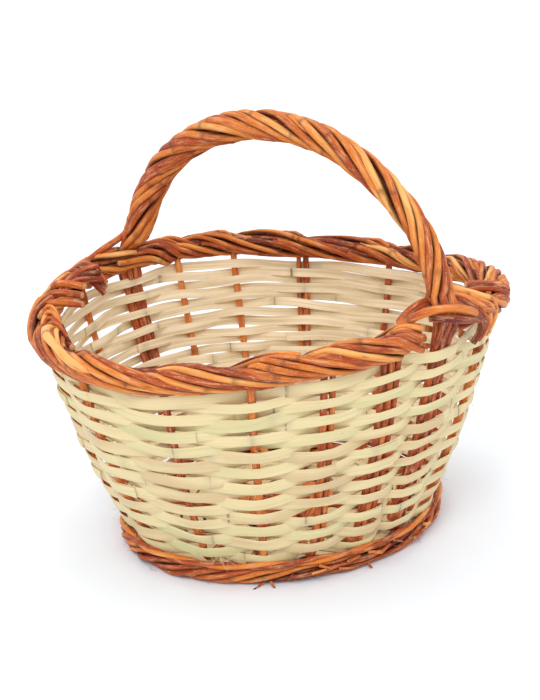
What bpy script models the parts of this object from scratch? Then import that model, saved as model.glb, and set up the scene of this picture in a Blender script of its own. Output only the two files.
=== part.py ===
"""Round foraging basket of peeled cane and brown willow, with a roped bow handle.

Willow stakes stand on a woven base, bend up through the cane rows of the side and turn down
one after another into a rolled border. Metres, +Z up. The origin is on the floor, under the
middle of the basket. +X runs across the handle and the handle's feet are at -Y and +Y.
"""

import math

import bmesh
import bpy
from mathutils import Vector

# The border's middle line, which dips at the two ends and rises to the handle's feet
RIM_HALF_LENGTH = 0.1925
RIM_HALF_WIDTH = 0.183
RIM_HEIGHT = 0.196
RIM_DIP = 0.0085

# The wall bellies out between foot and border by this share of its flare
WALL_BELLY_SHARE = 0.45
WALL_SECTION_SHARES = (0.1, 0.28, 0.48, 0.7)
SLOPE_SHARE = 0.1

# The wall's middle line where the stakes bend up stands this far inside the foot's middle line
WALL_FOOT_INSET = 0.0015

# Stake places in degrees round the basket. The handle goes in at the two places named below.
STAKE_PLACES = (10, 36, 57, 74, 90, 110, 130, 151, 173, 200, 221, 238, 255, 270, 292, 313, 333, 352)
BACK_HANDLE_PLACE = 4
FRONT_HANDLE_PLACE = 13

# Willow rods, by radius
STAKE_RADIUS = 0.0032
BORDER_ROD_RADIUS = 0.0024
FOOT_ROD_RADIUS = 0.0032
UPSETT_ROD_RADIUS = 0.0028
BASE_STICK_RADIUS = 0.0030
BOW_RADIUS = 0.0042
BOW_END_RADIUS = 0.0038
WRAP_ROD_RADIUS = 0.0030
WRAP_END_RADIUS = 0.0026

# Cane
CANE_ROWS = 22
CANE_THICKNESS = 0.0014
CANE_ROW_GAP = 0.0005
CANE_END_GAP = 0.0006
BASE_STRIP_WIDTH = 0.0076
BASE_STRIP_THICKNESS = 0.0018

# What pieces that touch keep between them
SEAT_GAP = 0.0004

# Border: tails wind round the stakes' line once in BORDER_LAY places
BORDER_RADIUS = 0.0106
BORDER_LAY = 3
TAIL_LAY_SHARE = 0.87
TAIL_BEND_RADIUS = 0.0065
TAIL_END_SHARE = 0.86
SECTIONS_PER_PLACE = 3
SPREAD_SECTIONS = 4
HANDLE_STRADDLE_SHARE = 0.5
HANDLE_STILL_SHARE = 0.85

# Foot: a three-rod rope under the base
FOOT_HALF_LENGTH = 0.139
FOOT_HALF_WIDTH = 0.1245
FOOT_RODS = 3
FOOT_TWIST_RADIUS = 0.0044
FOOT_TURNS = 9
FOOT_SECTIONS = 48
FOOT_FLAT_DEPTH = 0.0006

# Base: sticks crossed in the middle, fanned out to the foot, woven with two flat strips
BASE_STICKS = 8
BASE_STICK_SPACING = 0.0068
SLATH_HALF_LENGTH = 0.016
BASE_WEAVE_START_SHARE = 0.374
BASE_WEAVE_GAP = 0.0012
BASE_EDGE_GAP = 0.0005
BASE_FLOOR_GAP = 0.0025
STAKE_TUCK_LENGTH = 0.030
STAKE_BEND_RADIUS = 0.0060

# Handle: a bow with rods laid round it
HANDLE_HEIGHT = 0.343
BOW_LEAN = 0.009
BOW_LEAN_RISE_SHARE = 0.8
BOW_LEAN_FOOT_SHARE = 0.08
WRAP_RODS = 6
WRAP_TURNS = 4.5
SECTIONS_PER_WRAP_TURN = 8
BOW_SECTIONS = 18
WRAP_CLEARANCE = 0.0011
WRAP_START_HEIGHT = 0.0175
BOW_END_HEIGHT = 0.034
HANDLE_GAP = 0.0003

ROD_SIDES = 5
THICK_ROD_SIDES = 6
SHARP_ANGLE = math.radians(50)

# A hand of three rods laid side by side: shares of a rod's width across, and of its radius through
HAND_SHARES = (
    (-1.5, 0.0),
    (-1.0, 1.0),
    (-0.5, 0.3),
    (0.0, 1.0),
    (0.5, 0.3),
    (1.0, 1.0),
    (1.5, 0.0),
    (0.9, -0.9),
    (-0.9, -0.9),
)
HAND_TOP_CORNER = 3

PLACES = len(STAKE_PLACES)
HANDLE_PLACES = (BACK_HANDLE_PLACE, FRONT_HANDLE_PLACE)
TAIL_PLACES = BORDER_LAY * TAIL_LAY_SHARE
WALL_FOOT_HALF_LENGTH = FOOT_HALF_LENGTH - WALL_FOOT_INSET
WALL_FOOT_HALF_WIDTH = FOOT_HALF_WIDTH - WALL_FOOT_INSET
FOOT_ROPE_RADIUS = FOOT_TWIST_RADIUS + FOOT_ROD_RADIUS
FOOT_HEIGHT = FOOT_ROPE_RADIUS - FOOT_FLAT_DEPTH
WALL_FOOT_HEIGHT = FOOT_HEIGHT + FOOT_ROPE_RADIUS + SEAT_GAP + STAKE_RADIUS
CANE_START = STAKE_BEND_RADIUS + SEAT_GAP + CANE_ROW_GAP
BASE_STRIP_RISE = BASE_STICK_RADIUS + SEAT_GAP + BASE_STRIP_THICKNESS
BASE_HEIGHT = BASE_FLOOR_GAP + BASE_STRIP_RISE + BASE_STRIP_THICKNESS / 2
TUCK_HEIGHT = BASE_HEIGHT + BASE_STRIP_RISE + BASE_STRIP_THICKNESS / 2 + SEAT_GAP + STAKE_RADIUS
WRAP_RADIUS = BOW_RADIUS + WRAP_CLEARANCE + WRAP_ROD_RADIUS
HANDLE_STAKE_OFFSET = BOW_END_RADIUS + HANDLE_GAP + STAKE_RADIUS
WRAP_DOWN_OFFSET = BOW_END_RADIUS + HANDLE_GAP + WRAP_END_RADIUS

MATERIALS = {
    "willow": ((0.42, 0.13, 0.035, 1.0), 0.45),
    "cane": ((0.72, 0.60, 0.33, 1.0), 0.55),
}


def mix(a, b, share):
    return a + (b - a) * share


def ease(share):
    share = min(1.0, max(0.0, share))
    return share * share * (3 - 2 * share)


def turn_at(place):
    """The angle round the basket, in radians, at a place that may lie between two stakes."""
    lap, rest = divmod(place, PLACES)
    index = int(rest)
    start = STAKE_PLACES[index]
    end = STAKE_PLACES[(index + 1) % PLACES] + (360 if index == PLACES - 1 else 0)
    return math.radians(mix(start, end, rest - index)) + lap * math.tau


def outward(turn, half_length, half_width):
    """Level direction out of an oval."""
    return Vector((math.cos(turn) / half_length, math.sin(turn) / half_width, 0)).normalized()


def along(turn, half_length, half_width):
    out = outward(turn, half_length, half_width)
    return Vector((-out.y, out.x, 0))


def rim_height(turn):
    return RIM_HEIGHT - RIM_DIP * math.cos(2 * turn)


def wall_axes(share):
    flare = share + WALL_BELLY_SHARE * share * (1 - share)
    return (
        mix(WALL_FOOT_HALF_LENGTH, RIM_HALF_LENGTH, flare),
        mix(WALL_FOOT_HALF_WIDTH, RIM_HALF_WIDTH, flare),
    )


def wall_point(turn, share):
    """A point of the wall's middle surface: share 0 is at the foot, 1 in the border's middle."""
    half_length, half_width = wall_axes(share)
    height = mix(WALL_FOOT_HEIGHT, rim_height(turn), share)
    return Vector((half_length * math.cos(turn), half_width * math.sin(turn), height))


def wall_share_at(turn, height):
    return (height - WALL_FOOT_HEIGHT) / (rim_height(turn) - WALL_FOOT_HEIGHT)


def moved_turn(turn, share, distance):
    """The angle reached from turn by going this far along the wall."""
    half_length, half_width = wall_axes(share)
    speed = math.hypot(half_length * math.sin(turn), half_width * math.cos(turn))
    return turn + distance / speed


def is_handle(place):
    return place % PLACES in HANDLE_PLACES


def stake_turn(place, share=1.0):
    """Where stake number place stands. At the handle it stands beside the bow's end."""
    turn = turn_at(place)
    return moved_turn(turn, share, HANDLE_STAKE_OFFSET) if is_handle(place) else turn


def border_phase(place):
    """Places wound so far: even between stakes, and nearly still while passing the handle."""
    for handle in HANDLE_PLACES:
        nearest = handle + PLACES * round((place - handle) / PLACES)
        off = place - nearest
        if abs(off) < 1:
            return place - HANDLE_STILL_SHARE * math.sin(math.pi * off) / math.pi
    return place


def handle_nearness(place):
    """1 beside the handle, falling to 0 one place away."""
    off = min(abs(place - handle - PLACES * round((place - handle) / PLACES)) for handle in HANDLE_PLACES)
    return 1 - ease(off)


def wall_frame(turn, share=1.0):
    """The wall's own directions at a point of it: square out of it, along it, and up it."""
    low = min(share, 1.0 - SLOPE_SHARE)
    rise = (wall_point(turn, low + SLOPE_SHARE) - wall_point(turn, low)).normalized()
    side = along(turn, *wall_axes(share))
    return side.cross(rise).normalized(), side, rise


def border_point(place, angle, radius):
    """A point of the border: angle 0 is out of the wall and a quarter turn is up it."""
    turn = turn_at(place)
    out, _, rise = wall_frame(turn)
    across = radius * (1 + HANDLE_STRADDLE_SHARE * handle_nearness(place))
    return wall_point(turn, 1.0) + out * (across * math.cos(angle)) + rise * (radius * math.sin(angle))


def material(name):
    if name in bpy.data.materials:
        return bpy.data.materials[name]
    colour, roughness = MATERIALS[name]
    made = bpy.data.materials.new(name)
    made.use_nodes = True
    shader = made.node_tree.nodes["Principled BSDF"]
    shader.inputs["Base Color"].default_value = colour
    shader.inputs["Roughness"].default_value = roughness
    shader.inputs["Metallic"].default_value = 0.0
    return made


def object_from(shape, name, material_name):
    bmesh.ops.recalc_face_normals(shape, faces=shape.faces)
    mesh = bpy.data.meshes.new(name)
    shape.to_mesh(mesh)
    shape.free()
    mesh.materials.append(material(material_name))
    mesh.shade_smooth()
    mesh.set_sharp_from_angle(angle=SHARP_ANGLE)
    made = bpy.data.objects.new(name, mesh)
    bpy.context.scene.collection.objects.link(made)
    return made


def add_loft(shape, sections, closed=False):
    """A skin over sections, which are rings of the same number of points."""
    rings = [[shape.verts.new(point) for point in section] for section in sections]
    count = len(rings[0])
    pairs = list(zip(rings, rings[1:]))
    if closed:
        pairs.append((rings[-1], rings[0]))
    for first, second in pairs:
        for corner in range(count):
            after = (corner + 1) % count
            shape.faces.new((first[corner], first[after], second[after], second[corner]))
    if not closed:
        shape.faces.new(rings[0])
        shape.faces.new(rings[-1])


def loft(name, sections, material_name, closed=False):
    shape = bmesh.new()
    add_loft(shape, sections, closed)
    return object_from(shape, name, material_name)


def round_section(centre, across, through, radius, sides, first_angle=0.0):
    angles = [first_angle + math.tau * corner / sides for corner in range(sides)]
    return [centre + across * (radius * math.cos(a)) + through * (radius * math.sin(a)) for a in angles]


def rod_sections(points, radii, sides, closed=False):
    """Round sections square to a line of points, turned as little as possible on the way."""
    count = len(points)
    tangents = []
    for index in range(count):
        before = points[index - 1] if closed or index else points[0]
        after = points[(index + 1) % count] if closed or index < count - 1 else points[-1]
        tangents.append((after - before).normalized())
    across = tangents[0].orthogonal().normalized()
    sections = []
    for point, tangent, radius in zip(points, tangents, radii):
        across = (across - tangent * across.dot(tangent)).normalized()
        sections.append(round_section(point, across, tangent.cross(across), radius, sides))
    return sections


def hand_offsets(share):
    """Corners of a stake's section: a round rod at share 0, a hand of three rods at share 1."""
    corners = []
    count = len(HAND_SHARES)
    for corner, (across, through) in enumerate(HAND_SHARES):
        angle = math.pi / 2 + math.tau * (HAND_TOP_CORNER - corner) / count
        corners.append(
            (
                mix(STAKE_RADIUS * math.cos(angle), across * 2 * BORDER_ROD_RADIUS, share),
                mix(STAKE_RADIUS * math.sin(angle), through * BORDER_ROD_RADIUS, share),
            )
        )
    return corners


def stake_ring(centre, across, direction):
    """A round section of a stake that runs in this direction, its corners in a hand's order."""
    through = across.cross(direction).normalized()
    return [centre + across * a + through * b for a, b in hand_offsets(0.0)]


def stake_foot_rings(place):
    """From the tuck over the base, out to the wall and up it to the border."""
    turn = stake_turn(place, 0.0)
    foot = wall_point(turn, 0.0)
    out = outward(turn, WALL_FOOT_HALF_LENGTH, WALL_FOOT_HALF_WIDTH)
    side = along(turn, WALL_FOOT_HALF_LENGTH, WALL_FOOT_HALF_WIDTH)
    rise = (wall_point(stake_turn(place, SLOPE_SHARE), SLOPE_SHARE) - foot).normalized()
    start = foot - out * STAKE_TUCK_LENGTH
    start.z = TUCK_HEIGHT
    before = foot - out * STAKE_BEND_RADIUS
    after = foot + rise * STAKE_BEND_RADIUS
    middle = ((before + after) / 2 + foot) / 2
    rings = [
        stake_ring(start, -side, out),
        stake_ring(before, -side, out),
        stake_ring(middle, -side, (out + rise).normalized()),
        stake_ring(after, -side, rise),
    ]
    for share in WALL_SECTION_SHARES:
        centre = wall_point(stake_turn(place, share), share)
        above = wall_point(stake_turn(place, share + SLOPE_SHARE), share + SLOPE_SHARE)
        rings.append(stake_ring(centre, -side, (above - centre).normalized()))
    return rings


def stake_top_rings(place):
    """Up through the border's middle to where the stake starts to bend along the border."""
    turn = stake_turn(place)
    out, side, rise = wall_frame(turn)
    middle = wall_point(turn, 1.0)
    bend_start = middle + rise * (BORDER_RADIUS - TAIL_BEND_RADIUS)
    eighth = math.pi / 4
    bend = rise * math.sin(eighth) + side * (1 - math.cos(eighth))
    return [
        stake_ring(middle - rise * BORDER_RADIUS, out, rise),
        stake_ring(bend_start, out, rise),
        stake_ring(bend_start + bend * TAIL_BEND_RADIUS, out, (rise + side).normalized()),
    ]


def tail_ring(place, started, spread, size):
    """A section of the tail of stake number started, where it passes place in the border."""
    angle = math.pi / 2 - math.tau * (border_phase(place) - started) / BORDER_LAY
    ring = []
    for across, through in hand_offsets(spread):
        turned = angle - size * across / BORDER_RADIUS
        ring.append(border_point(place, turned, BORDER_RADIUS + size * through))
    return ring


def tail_rings(place):
    """The stake's way round the border: it spreads into a hand of rods and thins to its end."""
    turn = stake_turn(place)
    step = turn_at(place + 1) - turn_at(place)
    first = place + (moved_turn(turn, 1.0, TAIL_BEND_RADIUS) - turn_at(place)) / step
    count = round(TAIL_PLACES * SECTIONS_PER_PLACE)
    rings = []
    for index in range(count + 1):
        share = index / count
        passed = mix(first, place + TAIL_PLACES, share)
        rings.append(tail_ring(passed, place, ease(index / SPREAD_SECTIONS), mix(1.0, TAIL_END_SHARE, share)))
    return rings


def stake_sections(place):
    """One stake from end to end: over the base's edge, up the side and down along the border."""
    foot_rings = stake_foot_rings(place)
    top_rings = stake_top_rings(place)
    shift = best_shift(foot_rings[-1], top_rings[0])
    turned = [ring[shift:] + ring[:shift] for ring in foot_rings]
    return turned + top_rings + tail_rings(place)


def best_shift(fixed, turned):
    """How many corners to turn a ring so that its corners lie nearest another's."""

    def apart(shift):
        moved = fixed[shift:] + fixed[:shift]
        return sum((a - b).length for a, b in zip(moved, turned))

    return min(range(len(fixed)), key=apart)


def add_stakes():
    for place in range(PLACES):
        loft(f"stake_{place + 1:02d}", stake_sections(place), "willow")


def bundle_reach(place):
    """How far the uprights at a place reach back and forward along the wall, and their radius."""
    if not is_handle(place):
        return STAKE_RADIUS, STAKE_RADIUS, STAKE_RADIUS
    back = WRAP_DOWN_OFFSET + WRAP_END_RADIUS
    forward = HANDLE_STAKE_OFFSET + STAKE_RADIUS
    sagged = BOW_END_RADIUS + (back + forward) ** 2 / (8 * WALL_FOOT_HALF_WIDTH)
    return back, forward, sagged


def cane_edges(turn, row):
    """Shares of the wall at a row's lower and upper edge."""
    bottom = CANE_START
    top = rim_height(turn) - WALL_FOOT_HEIGHT - BORDER_RADIUS - 2 * BORDER_ROD_RADIUS
    pitch = (top - bottom) / CANE_ROWS
    height = rim_height(turn) - WALL_FOOT_HEIGHT
    lower = bottom + row * pitch
    return lower / height, (lower + pitch - CANE_ROW_GAP) / height


def cane_section(turn, row, offset):
    """Corners of a strip at this distance outside the wall's middle surface."""
    lower, upper = cane_edges(turn, row)
    corners = []
    for share, depth in ((lower, -0.5), (lower, 0.5), (upper, 0.5), (upper, -0.5)):
        out = wall_frame(turn, share)[0]
        corners.append(wall_point(turn, share) + out * (offset + depth * CANE_THICKNESS))
    return corners


def cane_row_sections(row):
    """A strip that passes outside one place and inside the next, its ends meeting inside a stake."""
    first = (5 * row) % PLACES
    first += (first + row + 1) % 2
    middle_share = sum(cane_edges(0.0, row)) / 2
    sections = []
    for step in range(PLACES + 1):
        place = (first + step) % PLACES
        side = 1 if (row + place) % 2 == 0 else -1
        back, forward, radius = bundle_reach(place)
        offset = side * (radius + SEAT_GAP + CANE_THICKNESS / 2)
        turn = turn_at(place)
        ends = {0: (CANE_END_GAP / 2, forward), PLACES: (-back, -CANE_END_GAP / 2)}
        for distance in ends.get(step, (-back, forward)):
            sections.append(cane_section(moved_turn(turn, middle_share, distance), row, offset))
    return sections


def add_cane_rows():
    for row in range(CANE_ROWS):
        loft(f"cane_row_{row + 1:02d}", cane_row_sections(row), "cane")


def foot_point(turn, out_by, height):
    out = outward(turn, FOOT_HALF_LENGTH, FOOT_HALF_WIDTH)
    middle = Vector((FOOT_HALF_LENGTH * math.cos(turn), FOOT_HALF_WIDTH * math.sin(turn), height))
    return middle + out * out_by


def add_foot():
    """Three rods twisted into a ring, cut flat where the basket stands on them."""
    for rod in range(FOOT_RODS):
        points = []
        for index in range(FOOT_SECTIONS):
            turn = math.tau * index / FOOT_SECTIONS
            angle = FOOT_TURNS * turn + math.tau * rod / FOOT_RODS
            out_by = FOOT_TWIST_RADIUS * math.cos(angle)
            points.append(foot_point(turn, out_by, FOOT_HEIGHT + FOOT_TWIST_RADIUS * math.sin(angle)))
        radii = [FOOT_ROD_RADIUS] * FOOT_SECTIONS
        shape = bmesh.new()
        add_loft(shape, rod_sections(points, radii, ROD_SIDES, closed=True), closed=True)
        everything = shape.verts[:] + shape.edges[:] + shape.faces[:]
        cut = bmesh.ops.bisect_plane(
            shape, geom=everything, plane_co=(0, 0, 0), plane_no=(0, 0, -1), clear_outer=True
        )
        edges = [piece for piece in cut["geom_cut"] if isinstance(piece, bmesh.types.BMEdge)]
        bmesh.ops.edgeloop_fill(shape, edges=edges)
        object_from(shape, f"foot_rod_{rod + 1}", "willow")


def add_upsett():
    """The rod laid round the stakes' bends, on the foot's shoulder."""
    sections = []
    up = Vector((0, 0, 1))
    out_by = STAKE_RADIUS + SEAT_GAP + UPSETT_ROD_RADIUS
    across_foot = WALL_FOOT_HALF_LENGTH + out_by - FOOT_HALF_LENGTH
    reach = FOOT_ROPE_RADIUS + SEAT_GAP + UPSETT_ROD_RADIUS
    height = FOOT_HEIGHT + math.sqrt(reach**2 - across_foot**2)
    for index in range(FOOT_SECTIONS):
        turn = math.tau * index / FOOT_SECTIONS
        out = outward(turn, WALL_FOOT_HALF_LENGTH, WALL_FOOT_HALF_WIDTH)
        centre = wall_point(turn, 0.0) + out * out_by
        centre.z = height
        sections.append(round_section(centre, out, up, UPSETT_ROD_RADIUS, ROD_SIDES, math.pi / 2))
    loft("upsett_rod", sections, "willow", closed=True)


def base_edge(turn):
    """Where the base sticks end, just inside the foot."""
    inset = FOOT_ROPE_RADIUS + BASE_EDGE_GAP
    return Vector(
        ((FOOT_HALF_LENGTH - inset) * math.cos(turn), (FOOT_HALF_WIDTH - inset) * math.sin(turn), BASE_HEIGHT)
    )


def base_stick_points(stick, across):
    """One stick: straight through the crossing and fanned out to both edges."""
    half = BASE_STICKS // 2
    offset = (stick - (half - 1) / 2) * BASE_STICK_SPACING
    fan = math.pi / BASE_STICKS * (stick - (half - 1) / 2)
    reach = SLATH_HALF_LENGTH
    if across:
        near, far = math.pi / 2 - fan, -math.pi / 2 + fan
        inner = [Vector((offset, reach, BASE_HEIGHT)), Vector((offset, -reach, BASE_HEIGHT))]
    else:
        near, far = fan, math.pi - fan
        inner = [Vector((reach, offset, BASE_HEIGHT)), Vector((-reach, offset, BASE_HEIGHT))]
    return [base_edge(near), *inner, base_edge(far)]


def stick_sections(points):
    up = Vector((0, 0, 1))
    sections = []
    for index, point in enumerate(points):
        before, after = points[max(index - 1, 0)], points[min(index + 1, len(points) - 1)]
        side = (after - before).normalized().cross(up)
        sections.append(round_section(point, side, up, BASE_STICK_RADIUS, THICK_ROD_SIDES))
    return sections


def add_base_sticks():
    """Four sticks through four: where they cross they are split over each other, so one solid."""
    shapes = []
    for across in (False, True):
        shape = bmesh.new()
        for stick in range(BASE_STICKS // 2):
            add_loft(shape, stick_sections(base_stick_points(stick, across)))
        shapes.append(shape)
    sticks = object_from(shapes[0], "base_sticks", "willow")
    crossing = object_from(shapes[1], "base_sticks_across", "willow")
    crossing.hide_render = True
    crossing.display_type = "WIRE"
    union = sticks.modifiers.new("Crossing", "BOOLEAN")
    union.operation = "UNION"
    union.object = crossing
    union.solver = "EXACT"


def add_base_weavers():
    """Two flat strips that chase each other outwards, over and under the sticks by turns."""
    arms = 2 * BASE_STICKS
    inset = FOOT_ROPE_RADIUS + BASE_EDGE_GAP + BASE_STRIP_WIDTH / 2
    end = FOOT_HALF_LENGTH - inset
    narrow = (FOOT_HALF_WIDTH - inset) / end
    start = BASE_WEAVE_START_SHARE * FOOT_HALF_LENGTH
    turns = int((end - start) / (2 * (BASE_STRIP_WIDTH + BASE_WEAVE_GAP)))
    growth = (end - start) / turns
    up = Vector((0, 0, 1))
    for weaver in range(2):
        sections = []
        for step in range(turns * arms - arms // 2 * weaver + 1):
            arm = step + arms // 2 * weaver
            turn = math.tau * (arm + 0.5) / arms
            radius = start + growth * step / arms
            side = 1 if (arm + weaver) % 2 == 0 else -1
            height = BASE_HEIGHT + side * BASE_STRIP_RISE
            middle = Vector((radius * math.cos(turn), radius * narrow * math.sin(turn), height))
            out = outward(turn, 1.0, narrow)
            half_width, half_thickness = BASE_STRIP_WIDTH / 2, BASE_STRIP_THICKNESS / 2
            sections.append(
                [
                    middle - out * half_width - up * half_thickness,
                    middle + out * half_width - up * half_thickness,
                    middle + out * half_width + up * half_thickness,
                    middle - out * half_width + up * half_thickness,
                ]
            )
        loft(f"base_weaver_{weaver + 1}", sections, "willow")


def bow_point(share):
    """The bow's arch, leaning in at the back: share 0 is at the front foot, 1 at the back foot."""
    angle = math.pi * share
    spring = rim_height(math.pi / 2)
    lean = BOW_LEAN * ease(share / BOW_LEAN_RISE_SHARE) * ease((1 - share) / BOW_LEAN_FOOT_SHARE)
    return Vector(
        (0, -RIM_HALF_WIDTH * math.cos(angle) - lean, spring + (HANDLE_HEIGHT - spring) * math.sin(angle))
    )


def wrap_shares():
    """Shares of the arch where the laid rods leave the border."""
    rise = WRAP_START_HEIGHT / (HANDLE_HEIGHT - rim_height(math.pi / 2))
    start = math.asin(rise) / math.pi
    return start, 1 - start


def foot_line(place, offset):
    """Points down the wall beside the handle's place, from the border to the handle's end."""
    turn = turn_at(place)
    points = []
    for share in (1.0, *reversed(WALL_SECTION_SHARES), wall_share_at(turn, BOW_END_HEIGHT)):
        moved = moved_turn(turn, share, offset)
        points.append(wall_point(moved, share))
    return points


def add_bow():
    """The bow: one thick rod, both ends pushed down through the side."""
    front = foot_line(FRONT_HANDLE_PLACE, 0)
    back = foot_line(BACK_HANDLE_PLACE, 0)
    arch = [bow_point(index / BOW_SECTIONS) for index in range(1, BOW_SECTIONS)]
    points = front[::-1] + arch + back
    radii = [BOW_END_RADIUS] * len(front) + [BOW_RADIUS] * len(arch) + [BOW_END_RADIUS] * len(back)
    loft("handle_bow", rod_sections(points, radii, THICK_ROD_SIDES), "willow")


def wrap_points(rod):
    """A rod laid round the bow. The first one also runs down the wall beside the bow's ends."""
    start, end = wrap_shares()
    count = round(WRAP_TURNS * SECTIONS_PER_WRAP_TURN)
    points = []
    step = 1e-4
    for index in range(count + 1):
        share = mix(start, end, index / count)
        tangent = (bow_point(share + step) - bow_point(share - step)).normalized()
        across = Vector((1, 0, 0))
        angle = math.pi + math.tau * (WRAP_TURNS * index / count + rod / WRAP_RODS)
        ring = across * math.cos(angle) + tangent.cross(across) * math.sin(angle)
        points.append(bow_point(share) + ring * WRAP_RADIUS)
    return points


def add_wraps():
    for rod in range(WRAP_RODS):
        points = wrap_points(rod)
        radii = [WRAP_ROD_RADIUS] * len(points)
        if rod == 0:
            front = foot_line(FRONT_HANDLE_PLACE, -WRAP_DOWN_OFFSET)
            back = foot_line(BACK_HANDLE_PLACE, -WRAP_DOWN_OFFSET)
            points = front[::-1] + points + back
            radii = [WRAP_END_RADIUS] * len(front) + radii + [WRAP_END_RADIUS] * len(back)
        loft(f"handle_rod_{rod + 1}", rod_sections(points, radii, ROD_SIDES), "willow")


def main():
    for old in list(bpy.data.objects):
        bpy.data.objects.remove(old)
    add_base_sticks()
    add_base_weavers()
    add_foot()
    add_upsett()
    add_stakes()
    add_cane_rows()
    add_bow()
    add_wraps()


main()
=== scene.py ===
"""Round foraging basket of peeled cane and brown willow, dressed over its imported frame.

Every rod and strip is a mesh of its own length. Each of its points also keeps its place on
the rod laid out straight, and the bark and cane materials are drawn along that.
"""

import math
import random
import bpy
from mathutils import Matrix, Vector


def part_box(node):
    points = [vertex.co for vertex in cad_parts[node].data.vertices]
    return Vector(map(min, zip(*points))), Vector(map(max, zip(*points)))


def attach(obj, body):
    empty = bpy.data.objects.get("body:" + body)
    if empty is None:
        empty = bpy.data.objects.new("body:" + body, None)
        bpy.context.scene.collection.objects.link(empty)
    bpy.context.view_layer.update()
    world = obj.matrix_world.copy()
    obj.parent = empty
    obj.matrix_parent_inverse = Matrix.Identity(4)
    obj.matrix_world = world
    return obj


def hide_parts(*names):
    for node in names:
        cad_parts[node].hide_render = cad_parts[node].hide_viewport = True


bl_info = {
    "name": "Foraging Basket",
    "version": (1, 0, 0),
    "blender": (4, 5, 0),
    "location": "View3D > Sidebar > Basket",
    "description": "Builds a round willow and cane basket with a roped handle, piece by piece",
    "category": "Add Mesh",
}

import bpy
import numpy as np
from bpy.props import FloatProperty, FloatVectorProperty, IntProperty, PointerProperty
from mathutils import Matrix, Vector

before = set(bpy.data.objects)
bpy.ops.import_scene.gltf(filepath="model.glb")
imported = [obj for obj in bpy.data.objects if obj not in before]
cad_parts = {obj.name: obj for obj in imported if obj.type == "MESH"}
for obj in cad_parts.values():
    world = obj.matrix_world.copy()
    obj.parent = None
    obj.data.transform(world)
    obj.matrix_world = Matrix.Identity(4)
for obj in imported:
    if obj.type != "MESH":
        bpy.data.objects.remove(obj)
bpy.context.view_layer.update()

# The frame's own layout, in metres and degrees: the wall from its foot to the border's middle
RIM_HALF_LENGTH = 0.1925
RIM_HALF_WIDTH = 0.183
RIM_HEIGHT = 0.196
RIM_DIP = 0.0085
WALL_BELLY_SHARE = 0.45
SLOPE_SHARE = 0.1
FOOT_HALF_LENGTH = 0.139
FOOT_HALF_WIDTH = 0.1245
WALL_FOOT_INSET = 0.0015
WALL_FOOT_HEIGHT = 0.0182
STAKE_PLACES = (10, 36, 57, 74, 90, 110, 130, 151, 173, 200, 221, 238, 255, 270, 292, 313, 333, 352)
PLACES = len(STAKE_PLACES)
BACK_HANDLE, FRONT_HANDLE = 4, 13
HANDLE_PLACES = (BACK_HANDLE, FRONT_HANDLE)
UP = Vector((0, 0, 1))

# The border's winding
BORDER_LAY = 3
HANDLE_STRADDLE_SHARE = 0.5
HANDLE_STILL_SHARE = 0.85

# About how far apart the stakes stand halfway up the side and at the rim
SIDE_PLACE_LENGTH = 0.055
RIM_PLACE_LENGTH = 0.062

# Stakes with more rods beside them, by place: 1 is after the stake and -1 before it
EXTRA_STAKES = {1: (1,), 6: (-1,), 11: (1,), 12: (-1, 1), 16: (1,)}


def length(name, description, default):
    return FloatProperty(name=name, description=description, default=default, unit="LENGTH", precision=4)


def ratio(name, description, default):
    return FloatProperty(name=name, description=description, default=default, min=0.1)


def quantity(name, description, default):
    return IntProperty(name=name, description=description, default=default, min=1)


def colour(name, description, default):
    return FloatVectorProperty(
        name=name, description=description, default=default, subtype="COLOR", size=3, min=0.0, max=1.0
    )


class WillowSettings(bpy.types.PropertyGroup):
    stake_radius: length("Stake Radius", "Radius of an upright stake", 0.0032)
    border_radius: length("Border Radius", "From the border's middle to the middle of its rods", 0.0096)
    border_rod_radius: length("Border Rod Radius", "Radius of a rod laid in the border", 0.0030)
    hand_rods: quantity("Rods In A Hand", "Rods laid side by side", 4)
    core_rods: quantity("Core Rods", "Rods wound inside the border", 4)
    foot_rod_radius: length("Foot Rod Radius", "Radius of a rod of the twisted foot", 0.0026)
    shadow: colour("Old Bark", "Purple brown of old bark", (0.135, 0.026, 0.019))
    red: colour("Red Bark", "Red brown of most bark", (0.39, 0.067, 0.020))
    orange: colour("Orange Bark", "Orange brown of young bark", (0.68, 0.208, 0.038))
    golden: colour("Golden Bark", "Golden brown of the palest bark", (0.82, 0.435, 0.135))
    scuff: colour("Scuffed Bark", "Pale bark where a rod was rubbed", (0.78, 0.42, 0.21))
    stain: colour("Stained Bark", "Dark patches of old bark", (0.20, 0.040, 0.018))
    speck: colour("Specks", "Pale specks on the bark", (0.74, 0.47, 0.27))
    knot: colour("Knots", "Dark bark round a knot", (0.13, 0.045, 0.025))
    # Painted shade: a dark colour for the sides of rods that lie against each other, where shade falls
    seam: colour("Seam", "Dark bark where rods lie against each other", (0.055, 0.009, 0.004))
    wood: colour("Cut Wood", "Wood of a cut rod", (0.62, 0.34, 0.15))
    dark_wood: colour("Dark Wood", "Darker rings of a cut rod", (0.50, 0.30, 0.15))


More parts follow.
